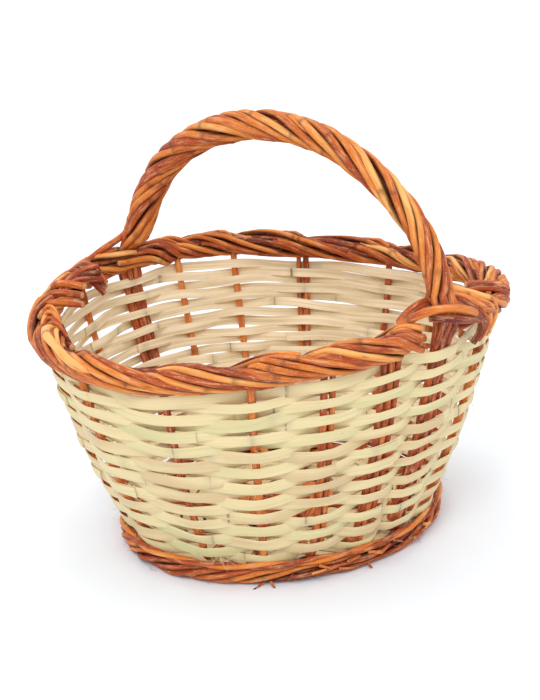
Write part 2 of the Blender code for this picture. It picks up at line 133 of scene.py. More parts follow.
class CaneSettings(bpy.types.PropertyGroup):
    rows: quantity("Rows", "Rows of cane up the side", 22)
    thickness: length("Thickness", "Thickness of a strip", 0.0013)
    cover_share: ratio("Cover", "Strip width over row height", 1.36)
    outer: colour("Outer Face", "Pale straw of the outer face", (0.72, 0.595, 0.325))
    green: colour("Green Streaks", "Strips cut greener", (0.52, 0.50, 0.24))
    tan: colour("Tan Streaks", "Strips gone tan", (0.62, 0.46, 0.25))
    straw: colour("Straw Bands", "Yellower bands on the outer face", (0.80, 0.72, 0.46))
    # The cane's inner face, painted paler than its outer face to stand in for light on the shaded inside of
    # the basket
    inner: colour("Inner Face", "Pale inner face", (0.97, 0.84, 0.60))
    inner_dull: colour("Dull Bands", "Duller bands on the inner face", (0.60, 0.45, 0.26))
    fibre: colour("Fibres", "Darker lines between fibres", (0.46, 0.36, 0.18))
    stain: colour("Stain", "Grey stain round a joint of the cane", (0.46, 0.39, 0.24))
    ring: colour("Joint Ring", "Dark ring of a joint", (0.20, 0.10, 0.035))
    end: colour("Cut End", "Cut end of a strip", (0.62, 0.50, 0.28))


class HandleSettings(bpy.types.PropertyGroup):
    top: length("Top", "Height of the bow's middle line", 0.343)
    lean: length("Lean", "How far the bow's back half leans in", 0.013)
    aside: length("Aside", "How far the bow bends to one side between its feet", 0.004)
    growth: ratio("Growth", "Thickness of the rope above its back foot over that at its front foot", 1.28)
    bow_radius: length("Bow Radius", "Radius of the bow inside the rope", 0.0046)
    wrap_radius: length("Wrap Radius", "Radius of a rod wound round the bow", 0.0030)
    turns: ratio("Turns", "Turns of the wound rods from foot to foot", 2.55)


class Value:
    """A shader number: arithmetic on it adds Math nodes."""

    def __init__(self, tree, socket):
        self.tree = tree
        self.socket = socket

    def maths(self, operation, first, second):
        return self.tree.value("ShaderNodeMath", {"operation": operation}, {0: first, 1: second})

    def __add__(self, other):
        return self.maths("ADD", self, other)

    def __sub__(self, other):
        return self.maths("SUBTRACT", self, other)

    def __rsub__(self, other):
        return self.maths("SUBTRACT", other, self)

    def __mul__(self, other):
        return self.maths("MULTIPLY", self, other)

    __radd__ = __add__
    __rmul__ = __mul__

    def clamped(self):
        """The number held between 0 and 1."""
        return self.tree.value("ShaderNodeClamp", {}, {0: self})

    def ramped(self, low, high):
        """0 below low, 1 above high, smooth between."""
        settings = {"interpolation_type": "SMOOTHSTEP"}
        return self.tree.value("ShaderNodeMapRange", settings, {0: self, 1: low, 2: high})


class Tree:
    """A material's nodes."""

    def __init__(self, name):
        self.material = bpy.data.materials.new(name)
        self.material.use_nodes = True
        self.nodes = self.material.node_tree.nodes
        self.links = self.material.node_tree.links
        self.nodes.clear()

    def node(self, kind, settings, sockets):
        """A node of this type: its settings first, then the values or links of its sockets."""
        node = self.nodes.new(kind)
        for key, value in settings.items():
            setattr(node, key, value)
        for key, value in sockets.items():
            if isinstance(value, Value):
                self.links.new(value.socket, node.inputs[key])
            else:
                node.inputs[key].default_value = value
        return node

    def value(self, kind, settings, sockets, output=0):
        return Value(self, self.node(kind, settings, sockets).outputs[output])

    def attribute(self, name, output):
        return self.value("ShaderNodeAttribute", {"attribute_name": name}, {}, output)

    def stretched(self, vector, scales, shift=(0, 0, 0)):
        """Places for a noise with this many waves in a metre, along the rod and across it."""
        scaled = self.value("ShaderNodeVectorMath", {"operation": "MULTIPLY"}, {0: vector, 1: scales})
        return self.value("ShaderNodeVectorMath", {"operation": "ADD"}, {0: scaled, 1: shift})

    def noise(self, vector, detail=2.0, roughness=0.5):
        sockets = {"Vector": vector, "Scale": 1.0, "Detail": detail, "Roughness": roughness}
        return self.value("ShaderNodeTexNoise", {"noise_dimensions": "3D"}, sockets)

    def mixed(self, share, first, second):
        """The first colour where share is 0 and the second where it is 1."""
        first, second = (c if isinstance(c, Value) else (*c, 1.0) for c in (first, second))
        return self.value("ShaderNodeMix", {"data_type": "RGBA"}, {0: share, 6: first, 7: second}, 2)

    def finished(self, colour_value, roughness, height, bump, constants):
        """Ends the tree in a Principled shader and returns the material."""
        sockets = {"Height": height, "Strength": 1.0, "Distance": bump}
        normal = self.value("ShaderNodeBump", {}, sockets)
        sockets = {"Base Color": colour_value, "Roughness": roughness, "Normal": normal, **constants}
        shader = self.node("ShaderNodeBsdfPrincipled", {}, sockets)
        output = self.node("ShaderNodeOutputMaterial", {}, {})
        self.links.new(shader.outputs[0], output.inputs[0])
        return self.material


def willow_material(willow):
    """Brown bark: its tone drifts along the rod, with fibres, scuffs, dark knots, pale cut ends and painted
    shade where rods lie against each other.
    """
    tree = Tree("willow_bark")
    place = tree.attribute("straight", 1)
    tone = tree.attribute("tone", 2)
    knot = tree.attribute("knot", 2)
    cut = tree.attribute("cut", 2)
    seam = tree.attribute("seam", 2)
    drift = tree.noise(tree.stretched(place, (26.0, 130.0, 130.0)), 2.0)
    fibre = tree.noise(tree.stretched(place, (55.0, 1300.0, 1300.0), (3.1, 0.7, 5.0)), 4.0, 0.65)
    patch = tree.noise(tree.stretched(place, (70.0, 420.0, 420.0), (9.0, 2.0, 1.0)), 3.0, 0.6)
    speck = tree.noise(tree.stretched(place, (500.0, 900.0, 900.0), (1.0, 8.0, 4.0)), 2.0, 0.5)
    shade = (tone + (drift - 0.5) * 0.95 + (fibre - 0.5) * 0.50).clamped()
    bark = tree.mixed(shade.ramped(0.0, 0.36), tuple(willow.shadow), tuple(willow.red))
    bark = tree.mixed(shade.ramped(0.30, 0.68), bark, tuple(willow.orange))
    bark = tree.mixed(shade.ramped(0.66, 1.0), bark, tuple(willow.golden))
    scuff = patch.ramped(0.48, 0.70) * 0.5
    bark = tree.mixed(scuff, bark, tuple(willow.scuff))
    old = (1 - patch).ramped(0.58, 0.72) * 0.55
    bark = tree.mixed(old, bark, tuple(willow.stain))
    bark = tree.mixed(speck.ramped(0.62, 0.72) * 0.5, bark, tuple(willow.speck))
    bark = tree.mixed(knot * 0.7, bark, tuple(willow.knot))
    # Painted shade where rods lie against each other
    bark = tree.mixed(seam * 0.88, bark, tuple(willow.seam))
    end = tree.mixed((fibre - 0.2) * 0.8, tuple(willow.wood), tuple(willow.dark_wood))
    bark = tree.mixed(cut, bark, end)
    roughness = 0.40 + scuff * 0.5 + fibre * 0.12 + cut * 0.3
    height = fibre * 0.55 + patch * 0.30 + speck * 0.15
    gloss = {"Specular IOR Level": 0.06, "IOR": 1.5, "Coat Weight": 0.12, "Coat Roughness": 0.3}
    return tree.finished(bark, roughness, height, 0.00055, gloss)


def cane_material(cane):
    """Split cane: straw with green and tan lengths, fine fibres, and ringed joints in a grey stain."""
    tree = Tree("split_cane")
    place = tree.attribute("straight", 1)
    tone = tree.attribute("tone", 2)
    knot = tree.attribute("knot", 2)
    cut = tree.attribute("cut", 2)
    inside = tree.attribute("inside", 2)
    drift = tree.noise(tree.stretched(place, (13.0, 70.0, 70.0)), 2.0)
    fibre = tree.noise(tree.stretched(place, (22.0, 1500.0, 900.0), (4.0, 1.7, 2.0)), 4.0, 0.6)
    band = tree.noise(tree.stretched(place, (7.0, 260.0, 90.0), (2.0, 5.0, 7.0)), 2.0)
    blot = tree.noise(tree.stretched(place, (60.0, 260.0, 90.0), (6.0, 3.0, 2.0)), 3.0, 0.6)
    straw = tree.mixed((tone + (drift - 0.5) * 1.3).ramped(0.14, 0.58), tuple(cane.tan), tuple(cane.outer))
    straw = tree.mixed((tone + drift - 0.5).ramped(0.55, 1.05) * 0.75, straw, tuple(cane.green))
    straw = tree.mixed(band.ramped(0.55, 0.75) * 0.5, straw, tuple(cane.straw))
    # The inner face is painted pale to stand in for light on the shaded inside of the basket
    dull = tree.mixed(band.ramped(0.35, 0.70) * 0.6, tuple(cane.inner), tuple(cane.inner_dull))
    skin = tree.mixed(inside, straw, dull)
    skin = tree.mixed((fibre - 0.5).ramped(-0.04, 0.30) * 0.5, skin, tuple(cane.fibre))
    skin = tree.mixed(blot.ramped(0.66, 0.80) * 0.45, skin, tuple(cane.stain))
    skin = tree.mixed(knot * (blot * 1.1 - 0.05), skin, tuple(cane.stain))
    ringed = knot.ramped(0.78, 0.95) * blot.ramped(0.34, 0.50) * 0.8
    skin = tree.mixed(ringed, skin, tuple(cane.ring))
    skin = tree.mixed(cut * 0.8, skin, tuple(cane.end))
    roughness = 0.46 + inside * 0.2 + fibre * 0.14
    height = fibre * 0.7 + band * 0.3 + knot.ramped(0.8, 1.0) * 0.6
    return tree.finished(skin, roughness, height, 0.00030, {"Specular IOR Level": 0.40, "IOR": 1.45})


def plain_material(name, base, roughness):
    tree = Tree(name)
    sockets = {"Base Color": (*base, 1.0), "Roughness": roughness}
    shader = tree.node("ShaderNodeBsdfPrincipled", {}, sockets)
    output = tree.node("ShaderNodeOutputMaterial", {}, {})
    tree.links.new(shader.outputs[0], output.inputs[0])
    return tree.material


# For each slot its material's name, what makes it and the settings that it is made from
MATERIALS = {
    "willow": ("willow_bark", willow_material, "basket_willow"),
    "cane": ("split_cane", cane_material, "basket_cane"),
}


def slot_material(context, slot):
    name, make, settings = MATERIALS[slot]
    return bpy.data.materials.get(name) or make(getattr(context.scene, settings))


def mix(a, b, share):
    return a + (b - a) * share


def ease(share):
    share = min(1.0, max(0.0, share))
    return share * share * (3 - 2 * share)


def turn_at(place):
    """The angle round the basket, in radians, at a place that may lie between two stakes."""
    lap, rest = divmod(place, PLACES)
    index = min(int(rest), PLACES - 1)
    start = STAKE_PLACES[index]
    end = STAKE_PLACES[(index + 1) % PLACES] + (360 if index == PLACES - 1 else 0)
    return math.radians(mix(start, end, rest - index)) + lap * math.tau


def oval_point(turn, half_length, half_width, height):
    return Vector((half_length * math.cos(turn), half_width * math.sin(turn), height))


def foot_point(turn, height):
    """A point over the middle line of the ring that the basket stands on."""
    return oval_point(turn, FOOT_HALF_LENGTH, FOOT_HALF_WIDTH, height)


def outward(turn, half_length, half_width):
    """The level direction square out of an oval at this angle."""
    return Vector((math.cos(turn) / half_length, math.sin(turn) / half_width, 0)).normalized()


def rim_height(turn):
    return RIM_HEIGHT - RIM_DIP * math.cos(2 * turn)


def wall_axes(share):
    """Half the wall's length and half its width at a share of its height."""
    flare = share + WALL_BELLY_SHARE * share * (1 - share)
    return (
        mix(FOOT_HALF_LENGTH - WALL_FOOT_INSET, RIM_HALF_LENGTH, flare),
        mix(FOOT_HALF_WIDTH - WALL_FOOT_INSET, RIM_HALF_WIDTH, flare),
    )


def wall_point(turn, share):
    """A point of the wall's middle surface: share 0 is at the foot, 1 in the border's middle."""
    return oval_point(turn, *wall_axes(share), mix(WALL_FOOT_HEIGHT, rim_height(turn), share))


def wall_share_at(turn, height):
    return (height - WALL_FOOT_HEIGHT) / (rim_height(turn) - WALL_FOOT_HEIGHT)


def moved_turn(turn, share, distance):
    """The angle reached from turn by going this far along the wall."""
    half_length, half_width = wall_axes(share)
    return turn + distance / math.hypot(half_length * math.sin(turn), half_width * math.cos(turn))


def wall_frame(turn, share=1.0):
    """The wall's own directions at a point of it: square out of it, along it, and up it."""
    low = min(share, 1.0 - SLOPE_SHARE)
    rise = (wall_point(turn, low + SLOPE_SHARE) - wall_point(turn, low)).normalized()
    side = UP.cross(outward(turn, *wall_axes(share)))
    return side.cross(rise).normalized(), side, rise


def places_from(handle, place):
    """How many places from a foot of the handle to here, the short way round."""
    return place - handle - PLACES * round((place - handle) / PLACES)


def border_phase(place):
    """Places wound so far: even between stakes, and nearly still while passing the handle."""
    for handle in HANDLE_PLACES:
        off = places_from(handle, place)
        if abs(off) < 1:
            return place - HANDLE_STILL_SHARE * math.sin(math.pi * off) / math.pi
    return place


def handle_nearness(place):
    """1 beside the handle, falling to 0 one place away."""
    off = min(abs(places_from(handle, place)) for handle in HANDLE_PLACES)
    return 1 - ease(off)


def border_point(place, angle, radius):
    """A point of the border: angle 0 is out of the wall and a quarter turn is up it."""
    turn = turn_at(place)
    out, _, rise = wall_frame(turn)
    across = radius * (1 + HANDLE_STRADDLE_SHARE * handle_nearness(place))
    return wall_point(turn, 1.0) + out * (across * math.cos(angle)) + rise * (radius * math.sin(angle))


def smooth_line(points, spacing, closed=False):
    """A smooth curve through the points, with a point every so often along it.

    The first three columns are the place. Any others are carried along.
    """
    if closed:
        padded = np.vstack([points[-1:], points, points[:2]])
    else:
        padded = np.vstack([2 * points[0] - points[1], points, 2 * points[-1] - points[-2]])
    fine = []
    steps = np.linspace(0, 1, 9)[:-1, None]
    for a, b, c, d in zip(padded, padded[1:], padded[2:], padded[3:]):
        curve = 2 * b + (c - a) * steps + (2 * a - 5 * b + 4 * c - d) * steps**2
        fine.append(0.5 * (curve + (3 * b - a - 3 * c + d) * steps**3))
    fine = np.vstack([*fine, points[:1] if closed else points[-1:]])
    run = np.concatenate([[0], np.cumsum(np.linalg.norm(np.diff(fine[:, :3], axis=0), axis=1))])
    count = max(4, round(run[-1] / spacing) + 1)
    places = np.linspace(0, run[-1], count)
    even = np.stack([np.interp(places, run, fine[:, axis]) for axis in range(points.shape[1])], axis=1)
    return (even[:-1], places[:-1]) if closed else (even, places)


def unit(vectors):
    return vectors / np.linalg.norm(vectors, axis=-1, keepdims=True)


def line_frames(points):
    """Two directions across a line at each of its points, turned as little as possible."""
    tangents = unit(np.gradient(points, axis=0))
    across = np.zeros_like(points)
    current = np.array(Vector(tangents[0]).orthogonal().normalized())
    for index, tangent in enumerate(tangents):
        current = current - tangent * current.dot(tangent)
        current = current / np.linalg.norm(current)
        across[index] = current
    return across, np.cross(tangents, across)


class Bundle:
    """Rods and strips gathered into one mesh. Each point keeps its place on its rod laid straight."""

    FIELDS = ("tone", "knot", "cut", "inside", "seam")
    SPACING = 0.0028
    # Painted shade between rods in a rope starts where a rod's side turns this far from straight out of its
    # rope
    SEAM_SHADE_START = 0.62
    SEAM_SHADE_WIDTH = 0.55
    # An open end's cut face is drawn in to this share, this share of a step past the end
    CHAMFER_SHARE = 0.86
    CHAMFER_STEP_SHARE = 0.12
    # Knots of the willow and joints of the cane: how far apart, and how far each reaches
    KNOT_SPACING, KNOT_REACH = 0.085, 0.0022
    JOINT_SPACING, JOINT_REACH = 0.21, 0.0042
    JOINT_STRENGTHS = (0.76, 1.0)
    # How far a rod swells at a knot and between knots, and how far it is from round
    KNOT_SWELL, SWELL = 0.13, 0.035
    OVAL, LUMP = 0.03, 0.02
    SWELL_WAVES = (0.012, 0.05)
    RING_SWELL_SHARE = 0.3
    RING_WAVES = (7, 12, 17)
    # A wandering rod is held still this near its ends
    FADE = 0.02
    # Each rod's bark starts somewhere on a length of this many metres, so no two look alike
    BARK_LENGTH = 40
    # A strip's outline, as shares of its width and thickness, and which of its points face in
    STRIP_ACROSS = (-0.5, -0.47, -0.30, -0.10, 0.10, 0.30, 0.47, 0.5, 0.47, 0.20, -0.20, -0.47)
    STRIP_THROUGH = (0.0, 0.34, 0.50, 0.56, 0.56, 0.50, 0.34, 0.0, -0.42, -0.46, -0.46, -0.42)
    STRIP_INSIDE = (0.5, 0, 0, 0, 0, 0, 0, 0.5, 1.0, 1.0, 1.0, 1.0)
    STRIP_SWELL, STRIP_SWELL_WAVES = 0.05, (0.05, 0.16)
    JOINT_SWELL, JOINT_SHARPNESS = 0.3, 12
    SHARP_ANGLE = math.radians(48)

    def __init__(self, seed):
        self.random = random.Random(seed)
        self.points = []
        self.straight = []
        self.faces = []
        self.fields = {name: [] for name in self.FIELDS}
        self.count = 0

    def add_skin(self, rings, straight, fields, closed=False):
        """A skin over an array of rings, with a small chamfer and a cut face at open ends."""
        if not closed:
            rings, straight, fields = self.with_ends(rings, straight, fields)
        number, sides = rings.shape[:2]
        index = np.arange(number * sides).reshape(number, sides) + self.count
        ahead = np.roll(index, -1, axis=0) if closed else index[1:]
        here = index if closed else index[:-1]
        quads = np.stack([here, np.roll(here, -1, axis=1), np.roll(ahead, -1, axis=1), ahead], axis=-1)
        self.faces += quads.reshape(-1, 4).tolist()
        if not closed:
            self.faces += [index[0, ::-1].tolist(), index[-1].tolist()]
        self.points.append(rings.reshape(-1, 3))
        self.straight.append(straight.reshape(-1, 3))
        for name in self.FIELDS:
            self.fields[name].append(np.broadcast_to(fields.get(name, 0.0), (number, sides)).reshape(-1))
        self.count += number * sides

    def with_ends(self, rings, straight, fields):
        """Adds an inset ring at each end, which carries the cut wood."""
        middles = rings.mean(axis=1)
        sides = rings.shape[1]
        first = middles[0] + (rings[0] - middles[0]) * self.CHAMFER_SHARE
        last = middles[-1] + (rings[-1] - middles[-1]) * self.CHAMFER_SHARE
        first = first + (middles[0] - middles[1]) * self.CHAMFER_STEP_SHARE
        last = last + (middles[-1] - middles[-2]) * self.CHAMFER_STEP_SHARE
        number = rings.shape[0]
        grown = {}
        for name, value in fields.items():
            value = np.broadcast_to(value, (number, sides))
            grown[name] = np.vstack([value[:1], value, value[-1:]])
        grown["cut"] = np.zeros((number + 2, sides))
        grown["cut"][[0, -1]] = 1.0
        rings = np.concatenate([first[None], rings, last[None]])
        straight = np.concatenate([straight[:1], straight, straight[-1:]])
        return rings, straight, grown

    def wander(self, places, size, shortest=0.03, longest=0.11):
        """A slow random drift along a rod, in each direction."""
        drift = np.zeros((len(places), 3))
        for axis in range(3):
            for _ in range(3):
                wave = self.random.uniform(shortest, longest)
                drift[:, axis] += np.sin(math.tau * (places / wave + self.random.random()))
        return drift * size / 3

    def knots_along(self, places, spacing, reach):
        """1 at each knot of the rod, falling to 0 within reach."""
        knot = np.zeros(len(places))
        at = places[0] + self.random.uniform(0.1, 1.0) * spacing
        while at < places[-1]:
            knot = np.maximum(knot, np.exp(-(((places - at) / reach) ** 2)))
            at += spacing * self.random.uniform(0.55, 1.5)
        return knot

    def drifted(self, line, places, wobble, closed):
        """The line with a slow drift of this size, and two directions across it at each point."""
        if not closed:
            fade = np.clip(np.minimum(places, places[-1] - places) / self.FADE, 0, 1)[:, None]
            line = line + self.wander(places, wobble) * fade
            return line, *line_frames(line)
        turns = np.arctan2(line[:, 1], line[:, 0])
        waves = [np.sin(turns * n + self.random.uniform(0, math.tau)) for n in self.RING_WAVES]
        drift = sum(waves) / len(waves)
        line = line + drift[:, None] * wobble * unit(line * (1, 1, 0))
        tangents = unit(np.roll(line, -1, axis=0) - np.roll(line, 1, axis=0))
        across = unit(np.cross((0.0, 0.0, 1.0), tangents))
        return line, across, np.cross(tangents, across)

    def laid_straight(self, places, across, through):
        """Each point's place on the rod laid straight, which the materials are drawn along."""
        start = self.random.uniform(0, self.BARK_LENGTH)
        return np.stack(np.broadcast_arrays(places[:, None] + start, across, through), axis=-1)

    def rod(
        self, points, radius, tone, end_radius=None, sides=10, wobble=0.0004,
        closed=False, floor=None, rope=None,
    ):
        """A willow rod along the points, thinning to end_radius, with knots and a slightly uneven bark.

        Its tone is one number, or a list with one for each point. Where a rod lies in a rope, rope
        holds the rope's middle beside each point and how much thicker the rod is there, and the
        sides that it turns to its neighbours get painted shade. Nothing of it is under floor.
        """
        tones = tone if isinstance(tone, list) else [tone] * len(points)
        columns = []
        for point, shade, laid in zip(points, tones, rope or [None] * len(points)):
            middle, growth = laid or (point, 1.0)
            columns.append((*point, *middle, 1.0 if laid else 0.0, growth, shade))
        columns, places = smooth_line(np.array(columns), self.SPACING, closed)
        line, centre, in_rope, growth = columns[:, :3], columns[:, 3:6], columns[:, 6], columns[:, 7]
        line, across, through = self.drifted(line, places, wobble, closed)
        knot = self.knots_along(places, self.KNOT_SPACING, self.KNOT_REACH)
        share = places / places[-1]
        size = radius + ((end_radius or radius) - radius) * share
        uneven = self.wander(places, self.RING_SWELL_SHARE if closed else 1.0, *self.SWELL_WAVES)
        size = size * growth * (1 + self.SWELL * uneven[:, 0] + self.KNOT_SWELL * knot)
        angles = np.arange(sides) * math.tau / sides
        lump = 1 + self.OVAL * np.sin(angles * 2 + uneven[:, 1:2] * 2)
        lump = lump + self.LUMP * np.sin(angles * 3 + uneven[:, 2:3])
        reach = size[:, None] * lump
        aside, over = reach * np.cos(angles), reach * np.sin(angles)
        rings = line[:, None] + across[:, None] * aside[..., None] + through[:, None] * over[..., None]
        if floor is not None:
            rings[..., 2] = np.maximum(rings[..., 2], floor)
        away = line - centre
        away = away / (np.linalg.norm(away, axis=1, keepdims=True) + 1e-9)
        facing = ((rings - line[:, None]) * away[:, None]).sum(axis=2) / reach
        # Painted shade on the sides that the rod turns to its neighbours in the rope
        seam = np.clip((self.SEAM_SHADE_START - facing) / self.SEAM_SHADE_WIDTH, 0, 1) * in_rope[:, None]
        fields = {"tone": columns[:, 8:], "knot": knot[:, None] * 0.9, "seam": seam}
        self.add_skin(rings, self.laid_straight(places, aside, over), fields, closed)

    def strip(self, middle, out, up, width, thickness, tone):
        """A split strip along a line of middles, its outer face slightly round."""
        run = np.concatenate([[0], np.cumsum(np.linalg.norm(np.diff(middle, axis=0), axis=1))])
        across, through = np.array(self.STRIP_ACROSS), np.array(self.STRIP_THROUGH)
        knot = self.knots_along(run, self.JOINT_SPACING, self.JOINT_REACH)
        knot = knot * self.random.uniform(*self.JOINT_STRENGTHS)
        widths = width * (1 + self.STRIP_SWELL * self.wander(run, 1.0, *self.STRIP_SWELL_WAVES)[:, 0])
        depths = thickness * (1 + self.JOINT_SWELL * knot**self.JOINT_SHARPNESS)
        aside, over = widths[:, None] * across, depths[:, None] * through
        rings = middle[:, None] + up[:, None] * aside[..., None] + out[:, None] * over[..., None]
        fields = {"tone": tone, "knot": knot[:, None], "inside": np.array(self.STRIP_INSIDE)[None]}
        self.add_skin(rings, self.laid_straight(run, aside, thickness * through), fields)

    def finish(self, context, name, slot, nodes=()):
        """Makes the piece: it rides on the basket and stands for these frame nodes."""
        mesh = bpy.data.meshes.new(name)
        mesh.from_pydata(np.vstack(self.points).tolist(), [], self.faces)
        layer = mesh.attributes.new("straight", "FLOAT_VECTOR", "POINT")
        layer.data.foreach_set("vector", np.vstack(self.straight).astype(np.float32).ravel())
        for field in self.FIELDS:
            layer = mesh.attributes.new(field, "FLOAT", "POINT")
            layer.data.foreach_set("value", np.concatenate(self.fields[field]).astype(np.float32))
        mesh.materials.append(slot_material(context, slot))
        mesh.shade_smooth()
        mesh.set_sharp_from_angle(angle=self.SHARP_ANGLE)
        mesh.update()
        piece = bpy.data.objects.new(name, mesh)
        context.scene.collection.objects.link(piece)
        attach(piece, "root")
        if nodes:
            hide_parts(*nodes)
        return piece


class BASKET_OT_base(bpy.types.Operator):
    """Crossed sticks fanned out to the foot and woven with two strips and a pair of fine rods"""

    bl_idname = "basket.base"
    bl_label = "Base"

    STICKS = 8
    SPACING = 0.0068
    CROSSING = 0.016
    CROSSING_LIFT_SHARE = 0.55
    STICK_TONES = (0.1, 0.38)
    STRIP_START = 0.052
    STRIP_OVERRUN = 0.0010
    STRIP_WIDTH = 0.0084
    STRIP_THICKNESS = 0.0015
    STRIP_TURNS = 4
    STRIP_STEPS = 8
    STRIP_TONES = (0.3, 0.6)
    PAIR_START = 0.026
    PAIR_END_GAP = 0.0045
    PAIR_RADIUS = 0.0017
    PAIR_GAP = 0.0012
    PAIR_TURNS = 6
    PAIR_STEPS = 4
    PAIR_TONES = (0.45, 0.60)

    def execute(self, context):
        low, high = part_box("base_sticks")
        self.height = (low.z + high.z) / 2
        self.stick_radius = (high.z - low.z) / 2
        self.edge = Vector((high.x, high.y, 0))
        self.sticks(context)
        self.strips(context)
        self.pair(context)
        return {"FINISHED"}

    def stick_line(self, stick, across):
        half = self.STICKS // 2
        number = stick - (half - 1) / 2
        offset = number * self.SPACING
        fan = math.pi / self.STICKS * number
        lift = self.stick_radius * self.CROSSING_LIFT_SHARE * (1 if across else -1)
        line = []
        for side in (1, -1):
            if across:
                turn = math.pi / 2 * side - fan * side
                inner = Vector((offset, self.CROSSING * side, self.height + lift))
            else:
                turn = fan if side > 0 else math.pi - fan
                inner = Vector((self.CROSSING * side, offset, self.height + lift))
            end = oval_point(turn, self.edge.x, self.edge.y, self.height)
            part = [end, mix(end, inner, 0.5), mix(end, inner, 0.8), inner]
            line += part if side > 0 else part[::-1]
        for point in line[1:3] + line[-3:-1]:
            point.z = self.height
        return line

    def sticks(self, context):
        bundle = Bundle(11)
        for across in (False, True):
            for stick in range(self.STICKS // 2):
                tone = bundle.random.uniform(*self.STICK_TONES)
                bundle.rod(self.stick_line(stick, across), self.stick_radius, tone, wobble=0.0002)
        bundle.finish(context, "base_sticks_laid", "willow", ["base_sticks"])

    def spiral(self, start, end, turns, weaver, rise, steps):
        """Points over and under the sticks' arms. The second weaver starts beyond the middle."""
        arms = 2 * self.STICKS
        narrow = self.edge.y / self.edge.x
        count = turns * arms * steps
        points = []
        for index in range(count + 1):
            arm = weaver * (self.STICKS + 1) + index / steps
            turn = math.tau * (arm + 0.5) / arms
            radius = mix(start, end, index / count)
            height = self.height + rise * math.cos(math.pi * arm)
            points.append(oval_point(turn, radius, radius * narrow, height))
        return points

    def strips(self, context):
        for weaver in range(2):
            name = f"base_weaver_{weaver + 1}"
            low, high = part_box(name)
            rise = (high.z - low.z) / 2 - self.STRIP_THICKNESS / 2
            end = self.edge.x + self.STRIP_OVERRUN
            line = self.spiral(self.STRIP_START, end, self.STRIP_TURNS, weaver, rise, self.STRIP_STEPS)
            middle = np.array([tuple(point) for point in line])
            tangents = unit(np.gradient(middle, axis=0))
            across = unit(np.cross((0.0, 0.0, 1.0), tangents))
            out = np.cross(tangents, across)
            bundle = Bundle(20 + weaver)
            tone = bundle.random.uniform(*self.STRIP_TONES)
            bundle.strip(middle, out, across, self.STRIP_WIDTH, self.STRIP_THICKNESS, tone)
            bundle.finish(context, f"base_strip_{weaver + 1}", "cane", [name])

    def pair(self, context):
        bundle = Bundle(31)
        rise = self.stick_radius + self.PAIR_GAP
        end = self.STRIP_START - self.PAIR_END_GAP
        for rod, tone in enumerate(self.PAIR_TONES):
            line = self.spiral(self.PAIR_START, end, self.PAIR_TURNS, rod, rise, self.PAIR_STEPS)
            bundle.rod(line, self.PAIR_RADIUS, tone, sides=8, wobble=0.0001)
        bundle.finish(context, "base_pairing", "willow")


class BASKET_OT_foot(bpy.types.Operator):
    """The twisted ring that the basket stands on, with the rods laid round the stakes' bends"""

    bl_idname = "basket.foot"
    bl_label = "Foot"

    RODS = ("foot_rod_1", "foot_rod_2", "foot_rod_3")
    POINTS = 240
    TURNS = 5
    # How unevenly it is wound: waves round the ring, how far each turns the rods, and its start
    UNEVEN = ((2, 1.3, 0.5), (5, 0.4, 0.0))
    WOBBLE = 0.0019
    THICKNESS_SHARES = (0.78, 1.1)
    TONES = (0.16, 0.66)
    CORE_GAP_SHARE = 0.9
    CORE_TONE = 0.3
    UPSETT_TURNS = 11
    UPSETT_TWIST_SHARE = 0.55
    UPSETT_RADIUS_SHARE = 0.80
    UPSETT_TONES = (0.35, 0.65)

    def execute(self, context):
        willow = context.scene.basket_willow
        _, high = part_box("foot_rod_1")
        height = max(high.z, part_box("foot_rod_2")[1].z) / 2
        twist = height - willow.foot_rod_radius
        middles = self.ring(height, 0.0, 0.0)
        rope = [(middle, 1.0) for middle in middles]
        for strand, name in enumerate(self.RODS):
            bundle = Bundle(40 + strand)
            for side in (0, 1):
                points = self.ring(height, twist, (2 * strand + side) / (2 * len(self.RODS)))
                tone = bundle.random.uniform(*self.TONES)
                radius = willow.foot_rod_radius * bundle.random.uniform(*self.THICKNESS_SHARES)
                bundle.rod(points, radius, tone, closed=True, floor=0.0, wobble=self.WOBBLE, rope=rope)
            bundle.finish(context, f"foot_twist_{strand + 1}", "willow", [name])
        bundle = Bundle(47)
        core_radius = twist - willow.foot_rod_radius * self.CORE_GAP_SHARE
        bundle.rod(middles, core_radius, self.CORE_TONE, closed=True)
        bundle.finish(context, "foot_core", "willow")
        self.upsett(context)
        return {"FINISHED"}

    def ring(self, height, twist, phase):
        """Points of a rod wound round the ring's middle line, or of that line where twist is 0."""
        points = []
        for index in range(self.POINTS):
            turn = math.tau * index / self.POINTS
            uneven = sum(size * math.sin(waves * turn + start) for waves, size, start in self.UNEVEN)
            angle = self.TURNS * turn + math.tau * phase + uneven
            out = outward(turn, FOOT_HALF_LENGTH, FOOT_HALF_WIDTH)
            twisted = out * (twist * math.cos(angle)) + UP * (twist * math.sin(angle))
            points.append(foot_point(turn, height) + twisted)
        return points

    def upsett(self, context):
        """Two rods twisted together round the stakes' bends."""
        low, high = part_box("upsett_rod")
        height = (low.z + high.z) / 2
        reach = (high.z - low.z) / 2
        axes = (high.x - reach, high.y - reach)
        bundle = Bundle(49)
        for rod, tone in enumerate(self.UPSETT_TONES):
            points = []
            for index in range(self.POINTS):
                turn = math.tau * index / self.POINTS
                angle = self.UPSETT_TURNS * turn + math.pi * rod
                away = outward(turn, *axes) * math.cos(angle) + UP * math.sin(angle)
                points.append(oval_point(turn, *axes, height) + away * (reach * self.UPSETT_TWIST_SHARE))
            bundle.rod(points, reach * self.UPSETT_RADIUS_SHARE, tone, closed=True, wobble=0.0003)
        bundle.finish(context, "upsett_laid", "willow", ["upsett_rod"])


